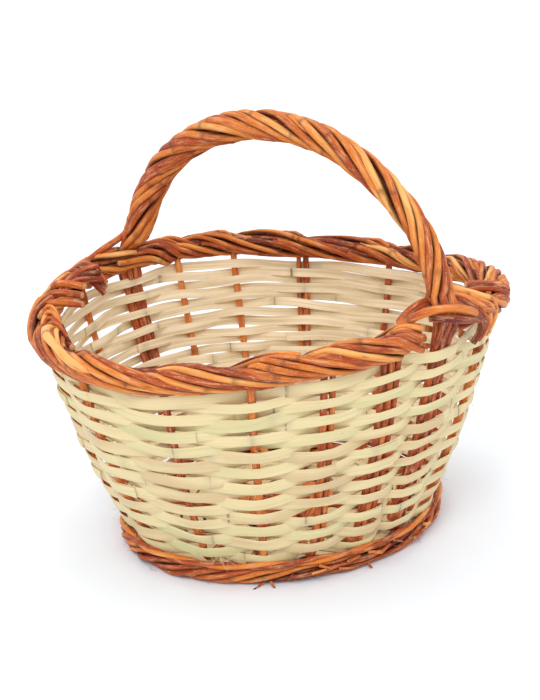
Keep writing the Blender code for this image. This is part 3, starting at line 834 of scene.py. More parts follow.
class BASKET_OT_stakes(bpy.types.Operator):
    """Stakes from the base up the side, and the hand of rods that each one starts in the border"""

    bl_idname = "basket.stakes"
    bl_label = "Stakes And Border"

    # A stake is tucked under the base, bends over this length at the foot and stands in the side
    TUCK = 0.030
    BEND_START, BEND_END = 0.012, 0.005
    BEND_RISE, BEND_INSET = 0.006, 0.0003
    SIDE_SHARES = (0.12, 0.25, 0.4, 0.55, 0.7, 0.84, 0.96)
    HANDLE_STAKE_OFFSET = 0.0073
    STAKE_TONES = (0.24, 0.60)
    HANDLE_STAKE_TONES = (0.15, 0.35)
    BACK_PALE = 0.17
    # It turns down this far under the border's top, and its tail runs past the next places
    TURN_BELOW, TURN_ASIDE = 0.0055, 0.0008
    TAIL_START, HANDLE_TAIL_START = 0.0075, 0.0150
    TAIL_PLACES = 2.62
    STAKE_TAIL_DRIFT = (-0.25, 0.15)
    STAKE_END_PLACES = 0.35
    STAKE_END_SHARE = 0.9
    TUCK_DEPTH = 0.0045
    # How the rods of the border are wound
    POINTS_PER_PLACE = 14
    ROD_PITCH = 1.92
    WINDING_DRIFT, WINDING_WAVE = 0.22, 1.4
    SWAY, SWAY_WAVE = 0.0005, 2.3
    # The other rods of a hand
    HAND_LEAD, HAND_LEAD_DRIFT = 0.30, 0.08
    HAND_TAIL_STEPS = (-0.45, -0.2, 0.0, 0.1, 0.35)
    HAND_TAIL_DRIFT = 0.1
    HAND_PROUD = (-0.0010, 0.0016)
    HAND_TUCK_SHARES = (0.0, 1.0, 1.3)
    HAND_START_PLACES, HAND_END_PLACES = 0.5, 0.4
    HAND_START_DEPTH_SHARE = 0.75
    HAND_THICKNESS_SHARES = (0.88, 1.10)
    HAND_TONES = (0.22, 0.38, 0.48, 0.58, 0.70, 0.85)
    HAND_TONE_DRIFT = 0.06
    HAND_END_SHARE = 0.86
    # The rods inside the border, and its opening round the handle's front foot
    CORE_REACH = 0.0044
    CORE_RADIUS = 0.0031
    CORE_POINTS_PER_PLACE = 5
    # The core rods take the darkest tones, as painted shade where they show between the border's rods
    CORE_TONES = (0.02, 0.3)
    OPEN_BEFORE = 0.50
    OPEN_AFTER = 0.14
    OPEN_STAGGER = 0.12
    # The rods beside some stakes
    EXTRA_SHARES = (0.06, 0.25, 0.45, 0.65, 0.85, 1.0)
    EXTRA_GAP = 0.0027
    EXTRA_SPREAD = (0.95, 1.12)
    EXTRA_RADIUS, EXTRA_END_RADIUS = 0.0026, 0.0023
    EXTRA_TONES = (0.18, 0.52)

    def execute(self, context):
        self.willow = context.scene.basket_willow
        for place in range(PLACES):
            name = f"stake_{place + 1:02d}"
            bundle = Bundle(100 + place)
            numbers = list(range(self.willow.hand_rods))
            own = numbers.pop(bundle.random.choice((1, 2)))
            self.stake(bundle, place, own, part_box(name)[0].z)
            bundle.finish(context, f"{name}_laid", "willow", [name])
            hand = Bundle(140 + place)
            for number in numbers:
                self.hand_rod(hand, place, number)
            hand.finish(context, f"border_hand_{place + 1:02d}", "willow")
            self.extra_stakes(context, place)
        self.core(context)
        return {"FINISHED"}

    def open_end(self, last):
        """Where a tail ends: those that would pass the handle's front foot end before it."""
        passes = FRONT_HANDLE - self.OPEN_BEFORE < last < FRONT_HANDLE + 2
        return FRONT_HANDLE - self.OPEN_BEFORE - self.OPEN_STAGGER * (last % 1) if passes else last

    def offset_of(self, number):
        """A rod's place in its hand, as an angle round the border."""
        pitch = self.ROD_PITCH * self.willow.border_rod_radius / self.willow.border_radius
        return (number - (self.willow.hand_rods - 1) / 2) * pitch

    def tail(self, bundle, place, first, last, offset, lift):
        """Points of a rod wound in the border, with the border's middle beside each."""
        points, rope = [], []
        count = round((last - first) * self.POINTS_PER_PLACE)
        uneven = bundle.random.uniform(0, math.tau)
        drift = bundle.random.uniform(-self.WINDING_DRIFT, self.WINDING_DRIFT)
        for index in range(count + 1):
            passed = mix(first, last, index / count)
            wound = math.tau * (border_phase(passed) - place) / BORDER_LAY
            angle = math.pi / 2 - wound - offset
            angle += drift * math.sin(self.WINDING_WAVE * (passed - place) + uneven)
            sway = self.SWAY * math.sin(self.SWAY_WAVE * passed + uneven)
            points.append(border_point(passed, angle, self.willow.border_radius + lift(passed) + sway))
            rope.append((wall_point(turn_at(passed), 1.0), 1.0))
        return points, rope

    def stake(self, bundle, place, number, low):
        """A stake from its tuck on the base, up the side and down along the border as rod number."""
        on_handle = place in HANDLE_PLACES
        turn = turn_at(place)
        top_turn = moved_turn(turn, 1.0, self.HANDLE_STAKE_OFFSET) if on_handle else turn
        foot_turn = moved_turn(turn, 0.0, self.HANDLE_STAKE_OFFSET) if on_handle else turn
        radius = self.willow.stake_radius
        foot = wall_point(foot_turn, 0.0)
        top = wall_point(top_turn, 1.0)
        out = outward(foot_turn, *wall_axes(0.0))
        rise = wall_frame(foot_turn, 0.0)[2]
        start = foot - out * self.TUCK
        start.z = low + radius
        line = [start, foot - out * self.BEND_START + UP * (start.z - foot.z) * 0.5]
        line += [foot - out * self.BEND_END, foot + rise * self.BEND_RISE - out * self.BEND_INSET]
        for share in self.SIDE_SHARES:
            line.append(wall_point(mix(foot_turn, top_turn, share), share))
        _, side, border_rise = wall_frame(top_turn)
        reach = self.willow.border_radius
        line.append(top + border_rise * (reach - self.TURN_BELOW) + side * self.TURN_ASIDE)
        gap = self.HANDLE_TAIL_START if on_handle else self.TAIL_START
        first = place + gap / RIM_PLACE_LENGTH
        last = self.open_end(place + self.TAIL_PLACES + bundle.random.uniform(*self.STAKE_TAIL_DRIFT))

        def tuck(passed):
            return -self.TUCK_DEPTH * ease((passed - last + self.STAKE_END_PLACES) / self.STAKE_END_PLACES)

        points, laid = self.tail(bundle, place, first, last, self.offset_of(number), tuck)
        rope = [None] * len(line) + laid
        line += points
        tone = bundle.random.uniform(*(self.HANDLE_STAKE_TONES if on_handle else self.STAKE_TONES))
        tone += self.BACK_PALE * max(0.0, math.sin(turn))
        thin = self.willow.border_rod_radius * self.STAKE_END_SHARE
        bundle.rod(line, radius, tone, thin, sides=12, wobble=0.0003, rope=rope)

    def hand_rod(self, bundle, place, number):
        """A rod that comes up out of the border's middle beside the stake and lies along it."""
        turn = turn_at(place)
        first = place - self.HAND_LEAD
        first += bundle.random.uniform(-self.HAND_LEAD_DRIFT, self.HAND_LEAD_DRIFT)
        if place == FRONT_HANDLE:
            first = place + self.OPEN_AFTER
        last = place + self.TAIL_PLACES + bundle.random.choice(self.HAND_TAIL_STEPS)
        last = self.open_end(last + bundle.random.uniform(-self.HAND_TAIL_DRIFT, self.HAND_TAIL_DRIFT))
        proud = bundle.random.uniform(*self.HAND_PROUD)
        depth = self.willow.border_radius * self.HAND_START_DEPTH_SHARE
        sunk = self.TUCK_DEPTH * bundle.random.choice(self.HAND_TUCK_SHARES)

        def lift(passed):
            rising = ease((passed - first) / self.HAND_START_PLACES)
            ending = ease((passed - last + self.HAND_END_PLACES) / self.HAND_END_PLACES)
            return (rising - 1) * depth + proud - ending * sunk

        line, rope = self.tail(bundle, place, first, last, self.offset_of(number), lift)
        radius = self.willow.border_rod_radius * bundle.random.uniform(*self.HAND_THICKNESS_SHARES)
        tone = bundle.random.choice(self.HAND_TONES)
        tone += bundle.random.uniform(-self.HAND_TONE_DRIFT, self.HAND_TONE_DRIFT)
        tone += self.BACK_PALE * max(0.0, math.sin(turn))
        bundle.rod(line, radius, tone, radius * self.HAND_END_SHARE, wobble=0.0005, rope=rope)

    def core(self, context):
        """Rods wound in the border's middle from one side of the handle's front foot to the other, in dark
        tones that are painted shade where they show between the border's rods.
        """
        bundle = Bundle(190)
        count = PLACES * self.CORE_POINTS_PER_PLACE
        for rod in range(self.willow.core_rods):
            points = []
            for index in range(count + 1):
                place = FRONT_HANDLE + mix(self.OPEN_AFTER, PLACES - self.OPEN_BEFORE, index / count)
                angle = -math.tau * (border_phase(place) / BORDER_LAY + rod / self.willow.core_rods)
                points.append(border_point(place, angle, self.CORE_REACH))
            bundle.rod(points, self.CORE_RADIUS, bundle.random.uniform(*self.CORE_TONES))
        bundle.finish(context, "border_core", "willow")

    def extra_stakes(self, context, place):
        if place not in EXTRA_STAKES:
            return
        bundle = Bundle(180 + place)
        turn = turn_at(place)
        for side in EXTRA_STAKES[place]:
            shift = side * (self.willow.stake_radius + self.EXTRA_GAP)
            line = []
            for share in self.EXTRA_SHARES:
                moved = moved_turn(turn, share, shift * mix(*self.EXTRA_SPREAD, share))
                line.append(wall_point(moved, share))
            tone = bundle.random.uniform(*self.EXTRA_TONES)
            bundle.rod(line, self.EXTRA_RADIUS, tone, self.EXTRA_END_RADIUS, wobble=0.0002)
        bundle.finish(context, f"side_stakes_{place + 1:02d}", "willow")


class BASKET_OT_cane(bpy.types.Operator):
    """Rows of split cane, woven over one stake and under the next"""

    bl_idname = "basket.cane"
    bl_label = "Cane Rows"

    STEP = 0.0030
    BASE_GAP = 0.0015
    TOP_GAP = 0.0154
    SHINGLE = 0.17
    ROUNDNESS = 0.3
    # How far a strip lies flat each side of a stake, beside an extra rod and at the handle
    FLAT, EXTRA_FLAT = 0.0030, 0.0052
    HANDLE_FLAT = (0.0095, 0.0105)
    HANDLE_STAND_OFF = 0.0012
    # How a row rises and falls, and how it tilts, with this many waves round the basket
    SWAY, SWAY_WAVES = 0.0007, (3, 5, 8, 14)
    TILT, TILT_WAVES = 0.05, (4, 7, 13)
    # A row's two strips overlap by this many places at each end
    OVERLAP = (0.18, 0.34)
    OVERLAP_PLACES = 0.4
    OVERLAP_LIFT_SHARE = 1.1
    # Strips are narrower at the right and at the back, which opens the weave there
    FULL_SHARE = 1.02
    RIGHT_SIDE = math.radians(290)
    RIGHT_SHARE = 0.20
    BACK_SHARE = 0.20
    WIDTH_SHARES = (0.86, 1.08)
    TONE, TONE_SPREAD = 0.54, 0.19

    def execute(self, context):
        self.cane = context.scene.basket_cane
        self.stake = context.scene.basket_willow.stake_radius
        for row in range(self.cane.rows):
            bundle = Bundle(200 + row)
            self.row(bundle, row)
            number = f"{row + 1:02d}"
            bundle.finish(context, f"cane_strips_{number}", "cane", [f"cane_row_{number}"])
        return {"FINISHED"}

    def flat_reach(self, place):
        """How far the strip lies flat before and after a stake, and its distance from the wall's middle."""
        spare = self.stake + self.cane.thickness * 0.5
        if place in HANDLE_PLACES:
            return *self.HANDLE_FLAT, spare + self.HANDLE_STAND_OFF
        sides = EXTRA_STAKES.get(place, ())
        before = self.FLAT + (self.EXTRA_FLAT if -1 in sides else 0)
        after = self.FLAT + (self.EXTRA_FLAT if 1 in sides else 0)
        return before, after, spare

    def offset(self, row, place, share):
        """How far out of the wall's middle the row lies at this place, and its tilt where it crosses."""
        index = math.floor(place)
        here, ahead = index % PLACES, (index + 1) % PLACES
        gap = (turn_at(index + 1) - turn_at(index)) * mix(*wall_axes(share), 0.5)
        run = (place - index) * gap
        _, after, amplitude = self.flat_reach(here)
        before, _, next_amplitude = self.flat_reach(ahead)
        passed = min(1.0, max(0.0, (run - after) / (gap - after - before)))
        swing = mix(1 - 2 * passed, math.cos(math.pi * passed), self.ROUNDNESS)
        size = amplitude if swing > 0 else next_amplitude
        sign = 1 if (row + index) % 2 == 0 else -1
        return sign * swing * size, self.SHINGLE * (1 - swing * swing)

    def row(self, bundle, row):
        """A row of two strips, each starting under the end of the other."""
        rows = self.cane.rows
        draw = bundle.random
        splices = sorted(draw.sample(range(PLACES), 2))
        waves = [(n, draw.uniform(0, math.tau)) for n in self.SWAY_WAVES]
        tilt_waves = [(n, draw.uniform(0, math.tau)) for n in self.TILT_WAVES]
        for number, start in enumerate(splices):
            end = splices[(number + 1) % len(splices)] + (PLACES if number == len(splices) - 1 else 0)
            before, after = draw.uniform(*self.OVERLAP), draw.uniform(*self.OVERLAP)
            count = round((end - start + before + after) * SIDE_PLACE_LENGTH / self.STEP)
            middle, outs, ups, narrowing = [], [], [], []
            for index in range(count + 1):
                place = mix(start - before, end + after, index / count)
                turn = turn_at(place)
                height = rim_height(turn) - WALL_FOOT_HEIGHT
                pitch = (height - self.BASE_GAP - self.TOP_GAP) / rows
                sway = self.SWAY * sum(math.sin(n * turn + phase) for n, phase in waves)
                level = self.BASE_GAP + (row + 0.5) * pitch + sway
                share = level / height
                out, _, rise = wall_frame(turn, share)
                offset, shingle = self.offset(row, place, share)
                ending = ease((place - end + self.OVERLAP_PLACES) / self.OVERLAP_PLACES)
                offset += self.splice_lift(row, end) * ending
                tilt = shingle + self.TILT * sum(math.sin(n * turn + phase) for n, phase in tilt_waves)
                point = wall_point(turn, share) + out * offset
                middle.append(tuple(point))
                outs.append(tuple(out * math.cos(tilt) + rise * math.sin(tilt)))
                ups.append(tuple(rise * math.cos(tilt) - out * math.sin(tilt)))
                right = self.RIGHT_SHARE * max(0.0, math.cos(turn - self.RIGHT_SIDE)) ** 2
                back = self.BACK_SHARE * max(0.0, math.sin(turn)) ** 0.5
                narrowing.append(self.FULL_SHARE - right - back)
            widths = np.array(narrowing) * pitch * self.cane.cover_share * draw.uniform(*self.WIDTH_SHARES)
            tone = min(1.0, max(0.0, draw.gauss(self.TONE, self.TONE_SPREAD)))
            middle, outs, ups = (np.array(values) for values in (middle, outs, ups))
            bundle.strip(middle, outs, ups, widths, self.cane.thickness, tone)

    def splice_lift(self, row, place):
        """The end of a strip lies over the start of the next, away from the stake."""
        sign = 1 if (row + place) % 2 == 0 else -1
        return sign * self.cane.thickness * self.OVERLAP_LIFT_SHARE


class BASKET_OT_handle(bpy.types.Operator):
    """The bow with rods wound round it, whose ends run out in the border or down the side"""

    bl_idname = "basket.handle"
    bl_label = "Handle"

    # A leg goes down beside the wall's stake to this height, with points at these shares of the way
    END_HEIGHT = 0.034
    LEG_SHARES = (1.0, 0.75, 0.5, 0.25, 0.0)
    ARCH_STEPS = 40
    BOW_TONE = 0.3
    BOW_GROWTH_POWER = 1.5
    START_SHARE = 0.055
    POINTS = 130
    FRAME_RODS = 6
    # Over what shares of the bow, from each foot, it leans, goes aside and grows
    LEAN_SHARES = (0.8, 0.08)
    ASIDE_SHARES = (0.12, 0.12)
    GROWTH_SHARES = (0.75, 0.11)
    # The winding is faster than even where it starts and slower where it ends, by this share
    SLOWING = 0.2
    # How unevenly it lies, round the bow in radians and off it in metres
    UNEVEN, UNEVEN_WAVE = 0.15, 9
    LIFT, LIFT_WAVE = 0.0003, 23
    ROD_GROWTH_SHARE = 0.65
    THICKNESS_SHARES = (0.90, 1.08)
    # Each wrap's place round the bow, in eighths at the front foot and in tenths at the back foot.
    # The two that lie between eighths start on the way.
    WRAPS = ((0, 0), (1, 1), (2, 2), (3, 3), (4, 5), (5, 6), (6, 7), (7, 8), (3.5, 4), (7.5, 9))
    TONES = (0.80, 0.44, 0.74, 0.92, 0.64, 0.86, 0.88, 0.52, 0.76, 0.64)
    TONE_DRIFT = 0.04
    LATE_START, LATE_DRIFT = 0.28, 0.1
    LATE_DEPTH, LATE_RISE = 0.0045, 0.10
    BACK_DULL, BACK_DULL_SHARE = 0.30, 0.8
    FRONT_DULL, FRONT_DULL_SHARE = 0.30, 0.3
    LEG_TONE = 0.32
    # How the rods run out: at each foot the first along the wall goes down it, this far before the bow
    DOWN_ASIDE = -0.0070
    FOOT_SPREAD = 0.0088
    FRONT_SPREAD_SHARES = (-1.0, 1.15)
    FRONT_OUT_SHARES = (0.45, 1.0)
    # Shares of the wall's height with the distance out of it
    FRONT_ROUTE = ((1.08, 0.0086), (1.06, 0.0084), (1.045, 0.0080))
    BACK_ROUTE = ((1.02, 0.0062), (0.96, 0.0064), (0.90, 0.0060))

    def execute(self, context):
        self.handle = context.scene.basket_handle
        self.order = self.ends_in_order()
        bundle = Bundle(300)
        front, back = self.leg(FRONT_HANDLE, 0.0)[::-1], self.leg(BACK_HANDLE, 0.0)
        shares = [step / self.ARCH_STEPS for step in range(2, self.ARCH_STEPS - 1)]
        arch = [(self.bow(share), self.growth(share) ** self.BOW_GROWTH_POWER) for share in shares]
        rope = [None] * len(front) + arch + [None] * len(back)
        line = front + [middle for middle, _ in arch] + back
        bundle.rod(line, self.handle.bow_radius, self.BOW_TONE, sides=12, rope=rope)
        bundle.finish(context, "handle_bow_laid", "willow", ["handle_bow"])
        for wrap in range(len(self.WRAPS)):
            bundle = Bundle(310 + wrap)
            self.wrap(bundle, wrap)
            nodes = [f"handle_rod_{wrap + 1}"] if wrap < self.FRAME_RODS else []
            bundle.finish(context, f"handle_wrap_{wrap + 1}", "willow", nodes)
        return {"FINISHED"}

    @staticmethod
    def arched(share, shares):
        """0 at both feet of the bow and 1 between, eased over these shares from each."""
        return ease(share / shares[0]) * ease((1 - share) / shares[1])

    def bow(self, share):
        """The bow's arch: share 0 is in the border at the front foot, 1 at the back foot."""
        angle = math.pi * share
        spring = rim_height(math.pi / 2)
        height = spring + (self.handle.top - spring) * math.sin(angle)
        lean = self.handle.lean * self.arched(share, self.LEAN_SHARES)
        aside = self.handle.aside * self.arched(share, self.ASIDE_SHARES)
        return Vector((aside, -RIM_HALF_WIDTH * math.cos(angle) - lean, height))

    def growth(self, share):
        """How much thicker the rope is here than at its feet."""
        return 1 + (self.handle.growth - 1) * self.arched(share, self.GROWTH_SHARES)

    def leg(self, place, along):
        """Points down the wall beside the handle's place, from the border to the leg's end."""
        turn = turn_at(place)
        bottom = wall_share_at(turn, self.END_HEIGHT)
        line = []
        for leg_share in self.LEG_SHARES:
            share = mix(bottom, 1.0, leg_share)
            line.append(wall_point(moved_turn(turn, share, along), share))
        return line

    def angle(self, wrap, along):
        """How far round the bow a wrap lies, from 0 where the winding starts to 1 where it ends."""
        eighths, tenths = self.WRAPS[wrap]
        wound = self.handle.turns * along * (1 + self.SLOWING - self.SLOWING * along)
        return math.pi + math.tau * (wound + mix(eighths / 8, tenths / 10, ease(along)))

    def is_late(self, wrap):
        return self.WRAPS[wrap][0] % 1 != 0

    def ends_in_order(self):
        """Each wrap's rank along the wall at both feet, counted the way that the places run."""
        everyone = range(len(self.WRAPS))
        early = [wrap for wrap in everyone if not self.is_late(wrap)]
        front = sorted(early, key=lambda wrap: math.cos(self.angle(wrap, 0)))
        back = sorted(everyone, key=lambda wrap: -math.cos(self.angle(wrap, 1)))
        return {
            FRONT_HANDLE: {wrap: rank for rank, wrap in enumerate(front)},
            BACK_HANDLE: {wrap: rank for rank, wrap in enumerate(back)},
        }

    def wrap(self, bundle, wrap):
        """A rod wound round the bow. A late one starts on the way, under its neighbours."""
        radius = self.handle.wrap_radius * bundle.random.uniform(*self.THICKNESS_SHARES)
        late = self.is_late(wrap)
        first = self.LATE_START + bundle.random.uniform(0, self.LATE_DRIFT) if late else 0.0
        tone = self.TONES[wrap] + bundle.random.uniform(-self.TONE_DRIFT, self.TONE_DRIFT)
        loose = bundle.random.uniform(0, math.tau)
        across = Vector((1, 0, 0))
        step = 1e-4
        line, rope, tones = [], [], []
        for index in range(self.POINTS + 1):
            along = mix(first, 1.0, index / self.POINTS)
            share = mix(self.START_SHARE, 1 - self.START_SHARE, along)
            tangent = (self.bow(share + step) - self.bow(share - step)).normalized()
            angle = self.angle(wrap, along) + self.UNEVEN * math.sin(self.UNEVEN_WAVE * share + loose)
            ring = across * math.cos(angle) + tangent.cross(across) * math.sin(angle)
            growth = self.growth(share)
            reach = (self.handle.bow_radius + radius) * growth
            reach += self.LIFT * math.sin(self.LIFT_WAVE * share + loose)
            if late:
                reach -= self.LATE_DEPTH * (1 - ease((along - first) / self.LATE_RISE))
            line.append(self.bow(share) + ring * reach)
            rope.append((self.bow(share), 1 + (growth - 1) * self.ROD_GROWTH_SHARE))
            back_dull = self.BACK_DULL * ease(along / self.BACK_DULL_SHARE)
            front_dull = self.FRONT_DULL * ease((self.FRONT_DULL_SHARE - along) / self.FRONT_DULL_SHARE)
            tones.append(tone * (1 - max(back_dull, front_dull)))
        front = [] if late else self.front_end(wrap)[::-1]
        back = self.back_end(wrap)
        rope = [None] * len(front) + rope + [None] * len(back)
        tones = [self.LEG_TONE] * len(front) + tones + [self.LEG_TONE] * len(back)
        bundle.rod(front + line + back, radius, tones, sides=11, wobble=0.0005, rope=rope)

    def front_end(self, wrap):
        """A wrap's end at the front foot, where they lie side by side over the border."""
        rank = self.order[FRONT_HANDLE][wrap]
        if rank == 0:
            return self.leg(FRONT_HANDLE, self.DOWN_ASIDE)
        least, most = (self.FOOT_SPREAD * share for share in self.FRONT_SPREAD_SHARES)
        spread = mix(least, most, rank / (len(self.order[FRONT_HANDLE]) - 1))
        return self.run_out(FRONT_HANDLE, self.FRONT_ROUTE, spread, self.FRONT_OUT_SHARES[rank % 2])

    def back_end(self, wrap):
        """A wrap's end at the back foot, where they go on round the bow into the border."""
        if self.order[BACK_HANDLE][wrap] == 0:
            return self.leg(BACK_HANDLE, self.DOWN_ASIDE)
        angle = self.angle(wrap, 1)
        spread = self.FOOT_SPREAD * -math.cos(angle)
        return self.run_out(BACK_HANDLE, self.BACK_ROUTE, spread, math.sin(angle))

    @staticmethod
    def run_out(place, route, spread, out_share):
        """Points of an end along its route, this far beside the bow."""
        line = []
        for share, reach in route:
            moved = moved_turn(turn_at(place), share, spread)
            out, _, _ = wall_frame(moved, share)
            line.append(wall_point(moved, share) + out * (reach * out_share))
        return line


class BASKET_OT_loose(bpy.types.Operator):
    """Rods that leave the border's pattern at the handle's feet and the left end, and loose fibres"""

    bl_idname = "basket.loose"
    bl_label = "Loose Rods And Fibres"

    # Each route's points are places round the border in degrees, metres out of it and metres up
    CROSS = (
        (258, -0.0086, 0.0080), (263, -0.0004, 0.0170), (268.3, 0.0095, 0.0205),
        (272.8, 0.0137, 0.0165), (276.4, 0.0134, 0.0105),
    )
    CROSS_LOW = (
        (264.7, 0.0018, 0.0130), (266.3, 0.0127, 0.0150), (270.4, 0.0163, 0.0115),
        (277.3, 0.0132, 0.0045), (281.3, 0.0132, -0.0010),
    )
    LOOP_FIRST = (
        (259.2, -0.0120, 0.0080), (261.5, -0.0133, 0.0130), (265.7, -0.0156, 0.0160),
        (269.9, -0.0162, 0.0165), (275.0, -0.0137, 0.0140),
    )
    LOOP_LAST = (
        (259.5, -0.0067, 0.0100), (262.5, -0.0091, 0.0130), (265.9, -0.0106, 0.0145),
        (270.5, -0.0125, 0.0140), (274.9, -0.0102, 0.0120),
    )
    RIGHT_FAR = (
        (278.2, -0.0200, 0.0175), (280.5, -0.0097, 0.0185), (285.7, 0.0011, 0.0125),
        (289.5, 0.0074, 0.0060), (289.3, 0.0107, -0.0040), (285.7, 0.0119, -0.0140),
    )
    RIGHT_NEAR = (
        (274.3, -0.0150, 0.0150), (276.1, -0.0023, 0.0145), (278.1, 0.0083, 0.0080),
        (279.4, 0.0140, 0.0000), (279.8, 0.0140, -0.0080), (278.9, 0.0110, -0.0180),
    )
    TIPS_FIRST = (
        (292.5, -0.0193, 0.0120), (297.2, -0.0098, 0.0120), (302.2, 0.0005, 0.0100),
        (304.1, 0.0096, 0.0065),
    )
    TIPS_LAST = (
        (291.5, -0.0177, 0.0080), (292.5, -0.0073, 0.0110), (295.2, 0.0032, 0.0110),
        (299.1, 0.0115, 0.0060),
    )
    UNDER_FIRST = (
        (267.6, 0.0065, 0.0120), (267.6, 0.0060, 0.0020), (267.7, 0.0032, -0.0100),
        (267.8, 0.0008, -0.0210),
    )
    UNDER_LAST = (
        (272.6, 0.0065, 0.0120), (272.5, 0.0060, 0.0020), (272.3, 0.0032, -0.0100),
        (272.1, 0.0008, -0.0210),
    )
    EAR_FIRST = ((121, 0.006, -0.002), (123, 0.001, 0.0085), (126, -0.014, 0.0115), (129, -0.033, 0.009))
    EAR_LAST = ((134, 0.004, -0.003), (136, -0.003, 0.0075), (140, -0.016, 0.0115), (144, -0.035, 0.009))
    EAR_LOOP_FIRST = (
        (142, 0.000, 0.004), (141, -0.005, 0.0115), (143, -0.011, 0.0120), (147, -0.014, 0.006),
    )
    EAR_LOOP_LAST = (
        (154, 0.002, 0.004), (153, -0.004, 0.0120), (155, -0.010, 0.0115), (158, -0.013, 0.004),
    )
    EAR_GOLD = (
        (152, -0.008, 0.006), (158, 0.002, 0.0135), (168, 0.0065, 0.0125), (177, 0.0100, 0.0075),
        (185, 0.0060, -0.004),
    )
    EAR_INNER_FIRST = (
        (145, -0.006, 0.004), (146, -0.012, 0.002), (147, -0.014, -0.010), (148, -0.015, -0.024),
    )
    EAR_INNER_LAST = (
        (156, -0.006, 0.004), (157, -0.012, 0.002), (157, -0.014, -0.010), (158, -0.015, -0.022),
    )
    CLUSTER_FIRST = (
        (106, 0.004, 0.006), (109, -0.008, 0.0115), (112, -0.022, 0.009), (114, -0.034, -0.004),
    )
    CLUSTER_LAST = ((113, 0.002, 0.008), (115, -0.010, 0.0110), (116, -0.022, 0.004), (116, -0.033, -0.012))
    CROSSED_FIRST = (
        (126, -0.006, 0.004), (122, -0.013, 0.0115), (117, -0.020, 0.0125), (112, -0.026, 0.010),
    )
    CROSSED_LAST = (
        (128, -0.008, 0.002), (124, -0.018, 0.0095), (120, -0.027, 0.0065), (116, -0.034, 0.001),
    )
    BACK_FIRST = (
        (88.5, -0.021, 0.040), (90, -0.010, 0.0255), (95, 0.003, 0.0165), (101, 0.006, 0.010),
        (108, 0.008, 0.003),
    )
    BACK_LAST = (
        (90, -0.015, 0.030), (93, -0.007, 0.0200), (99, -0.002, 0.0145), (106, -0.002, 0.0115),
        (115, 0.000, 0.0095),
    )

    # Each group's name, the seed of its draws, a rod's radius, the rods' tones, and the routes of
    # its first rod and its last
    GROUPS = (
        ("cross_rod", 400, 0.0036, (0.60,), CROSS, CROSS),
        ("cross_rod_low", 406, 0.0031, (0.16,), CROSS_LOW, CROSS_LOW),
        ("inner_loop", 401, 0.0030, (0.30, 0.12), LOOP_FIRST, LOOP_LAST),
        ("right_hand", 402, 0.0029, (0.86, 0.62, 0.78, 0.24, 0.12), RIGHT_FAR, RIGHT_NEAR),
        ("right_tips", 412, 0.0024, (0.30, 0.10, 0.22), TIPS_FIRST, TIPS_LAST),
        ("under_rods", 413, 0.0022, (0.24, 0.10, 0.30, 0.04, 0.26), UNDER_FIRST, UNDER_LAST),
        ("ear_hand", 403, 0.0034, (0.52, 0.40, 0.36), EAR_FIRST, EAR_LAST),
        ("ear_loops", 404, 0.0017, (0.55, 0.7, 0.4, 0.5), EAR_LOOP_FIRST, EAR_LOOP_LAST),
        ("ear_gold", 407, 0.0036, (0.98,), EAR_GOLD, EAR_GOLD),
        ("ear_inner", 408, 0.0026, (0.05, 0.2, 0.0), EAR_INNER_FIRST, EAR_INNER_LAST),
        ("ear_cluster", 409, 0.0028, (0.4, 0.12, 0.28), CLUSTER_FIRST, CLUSTER_LAST),
        ("ear_crossed", 411, 0.0027, (0.35, 0.10, 0.22), CROSSED_FIRST, CROSSED_LAST),
        ("back_splay", 405, 0.0028, (0.62, 0.50, 0.70, 0.40), BACK_FIRST, BACK_LAST),
    )
    THICKNESS_SHARES = (0.92, 1.08)
    END_SHARE = 0.9

    FIBRE_RADIUS = 0.00016
    FIBRE_END_SHARE = 0.4
    FIBRE_CURL_SHARE = 0.35
    FIBRES, FIBRE_LENGTHS = 150, (0.004, 0.013)
    # A tuft of longer fibres low on the side, between these degrees round it
    TUFT_FIBRES, TUFT_LENGTHS = 9, (0.008, 0.017)
    TUFT_DEGREES, TUFT_SHARE = (198, 211), 0.05
    BORDER_SPLINTERS, FOOT_SPLINTERS = 110, 60
    SPLINTER_LENGTHS = (0.003, 0.008)
    # How far out of the middle of the cane, the border and the foot their loose ends start
    CANE_FACE, TUFT_FACE = 0.0042, 0.0045
    BORDER_FACE, FOOT_FACE = 0.0124, 0.0068

    # Where a stub stands round the foot in degrees, its height and its length
    STUBS = ((220, 0.003, 0.010), (223, 0.004, 0.008), (257, 0.005, 0.007))
    STUB_DEPTH = 0.0045
    STUB_RADIUS, STUB_END_RADIUS = 0.0012, 0.0009
    # Slivers laid round the foot's outside, which is round, between these degrees
    SLIVERS, SLIVER_DEGREES = 16, (236, 300)
    SLIVER_SPAN = (3, 6)
    SLIVER_HEIGHTS, SLIVER_RISE = (0.006, 0.016), 0.004
    SLIVER_RADII, SLIVER_END_RADIUS = (0.0009, 0.0018), 0.0008
    FOOT_MIDDLE, FOOT_TOP, SLIVER_REACH = 0.0085, 0.017, 0.0083

    def execute(self, context):
        for group in self.GROUPS:
            self.lay(context, *group)
        self.fibres(context)
        self.splinters(context)
        self.stubs(context)
        return {"FINISHED"}

    def lay(self, context, name, seed, radius, tones, first, last):
        """Rods side by side, spread evenly from the first route to the last."""
        bundle = Bundle(seed)
        for number, tone in enumerate(tones):
            share = number / max(1, len(tones) - 1)
            line = []
            for a, b in zip(first, last):
                degrees, out_by, up_by = (mix(x, y, share) for x, y in zip(a, b))
                turn = math.radians(degrees)
                out, _, rise = wall_frame(turn)
                line.append(wall_point(turn, 1.0) + out * out_by + rise * up_by)
            thick = radius * bundle.random.uniform(*self.THICKNESS_SHARES)
            bundle.rod(line, thick, tone, thick * self.END_SHARE, sides=12, wobble=0.0005)
        bundle.finish(context, name, "willow")

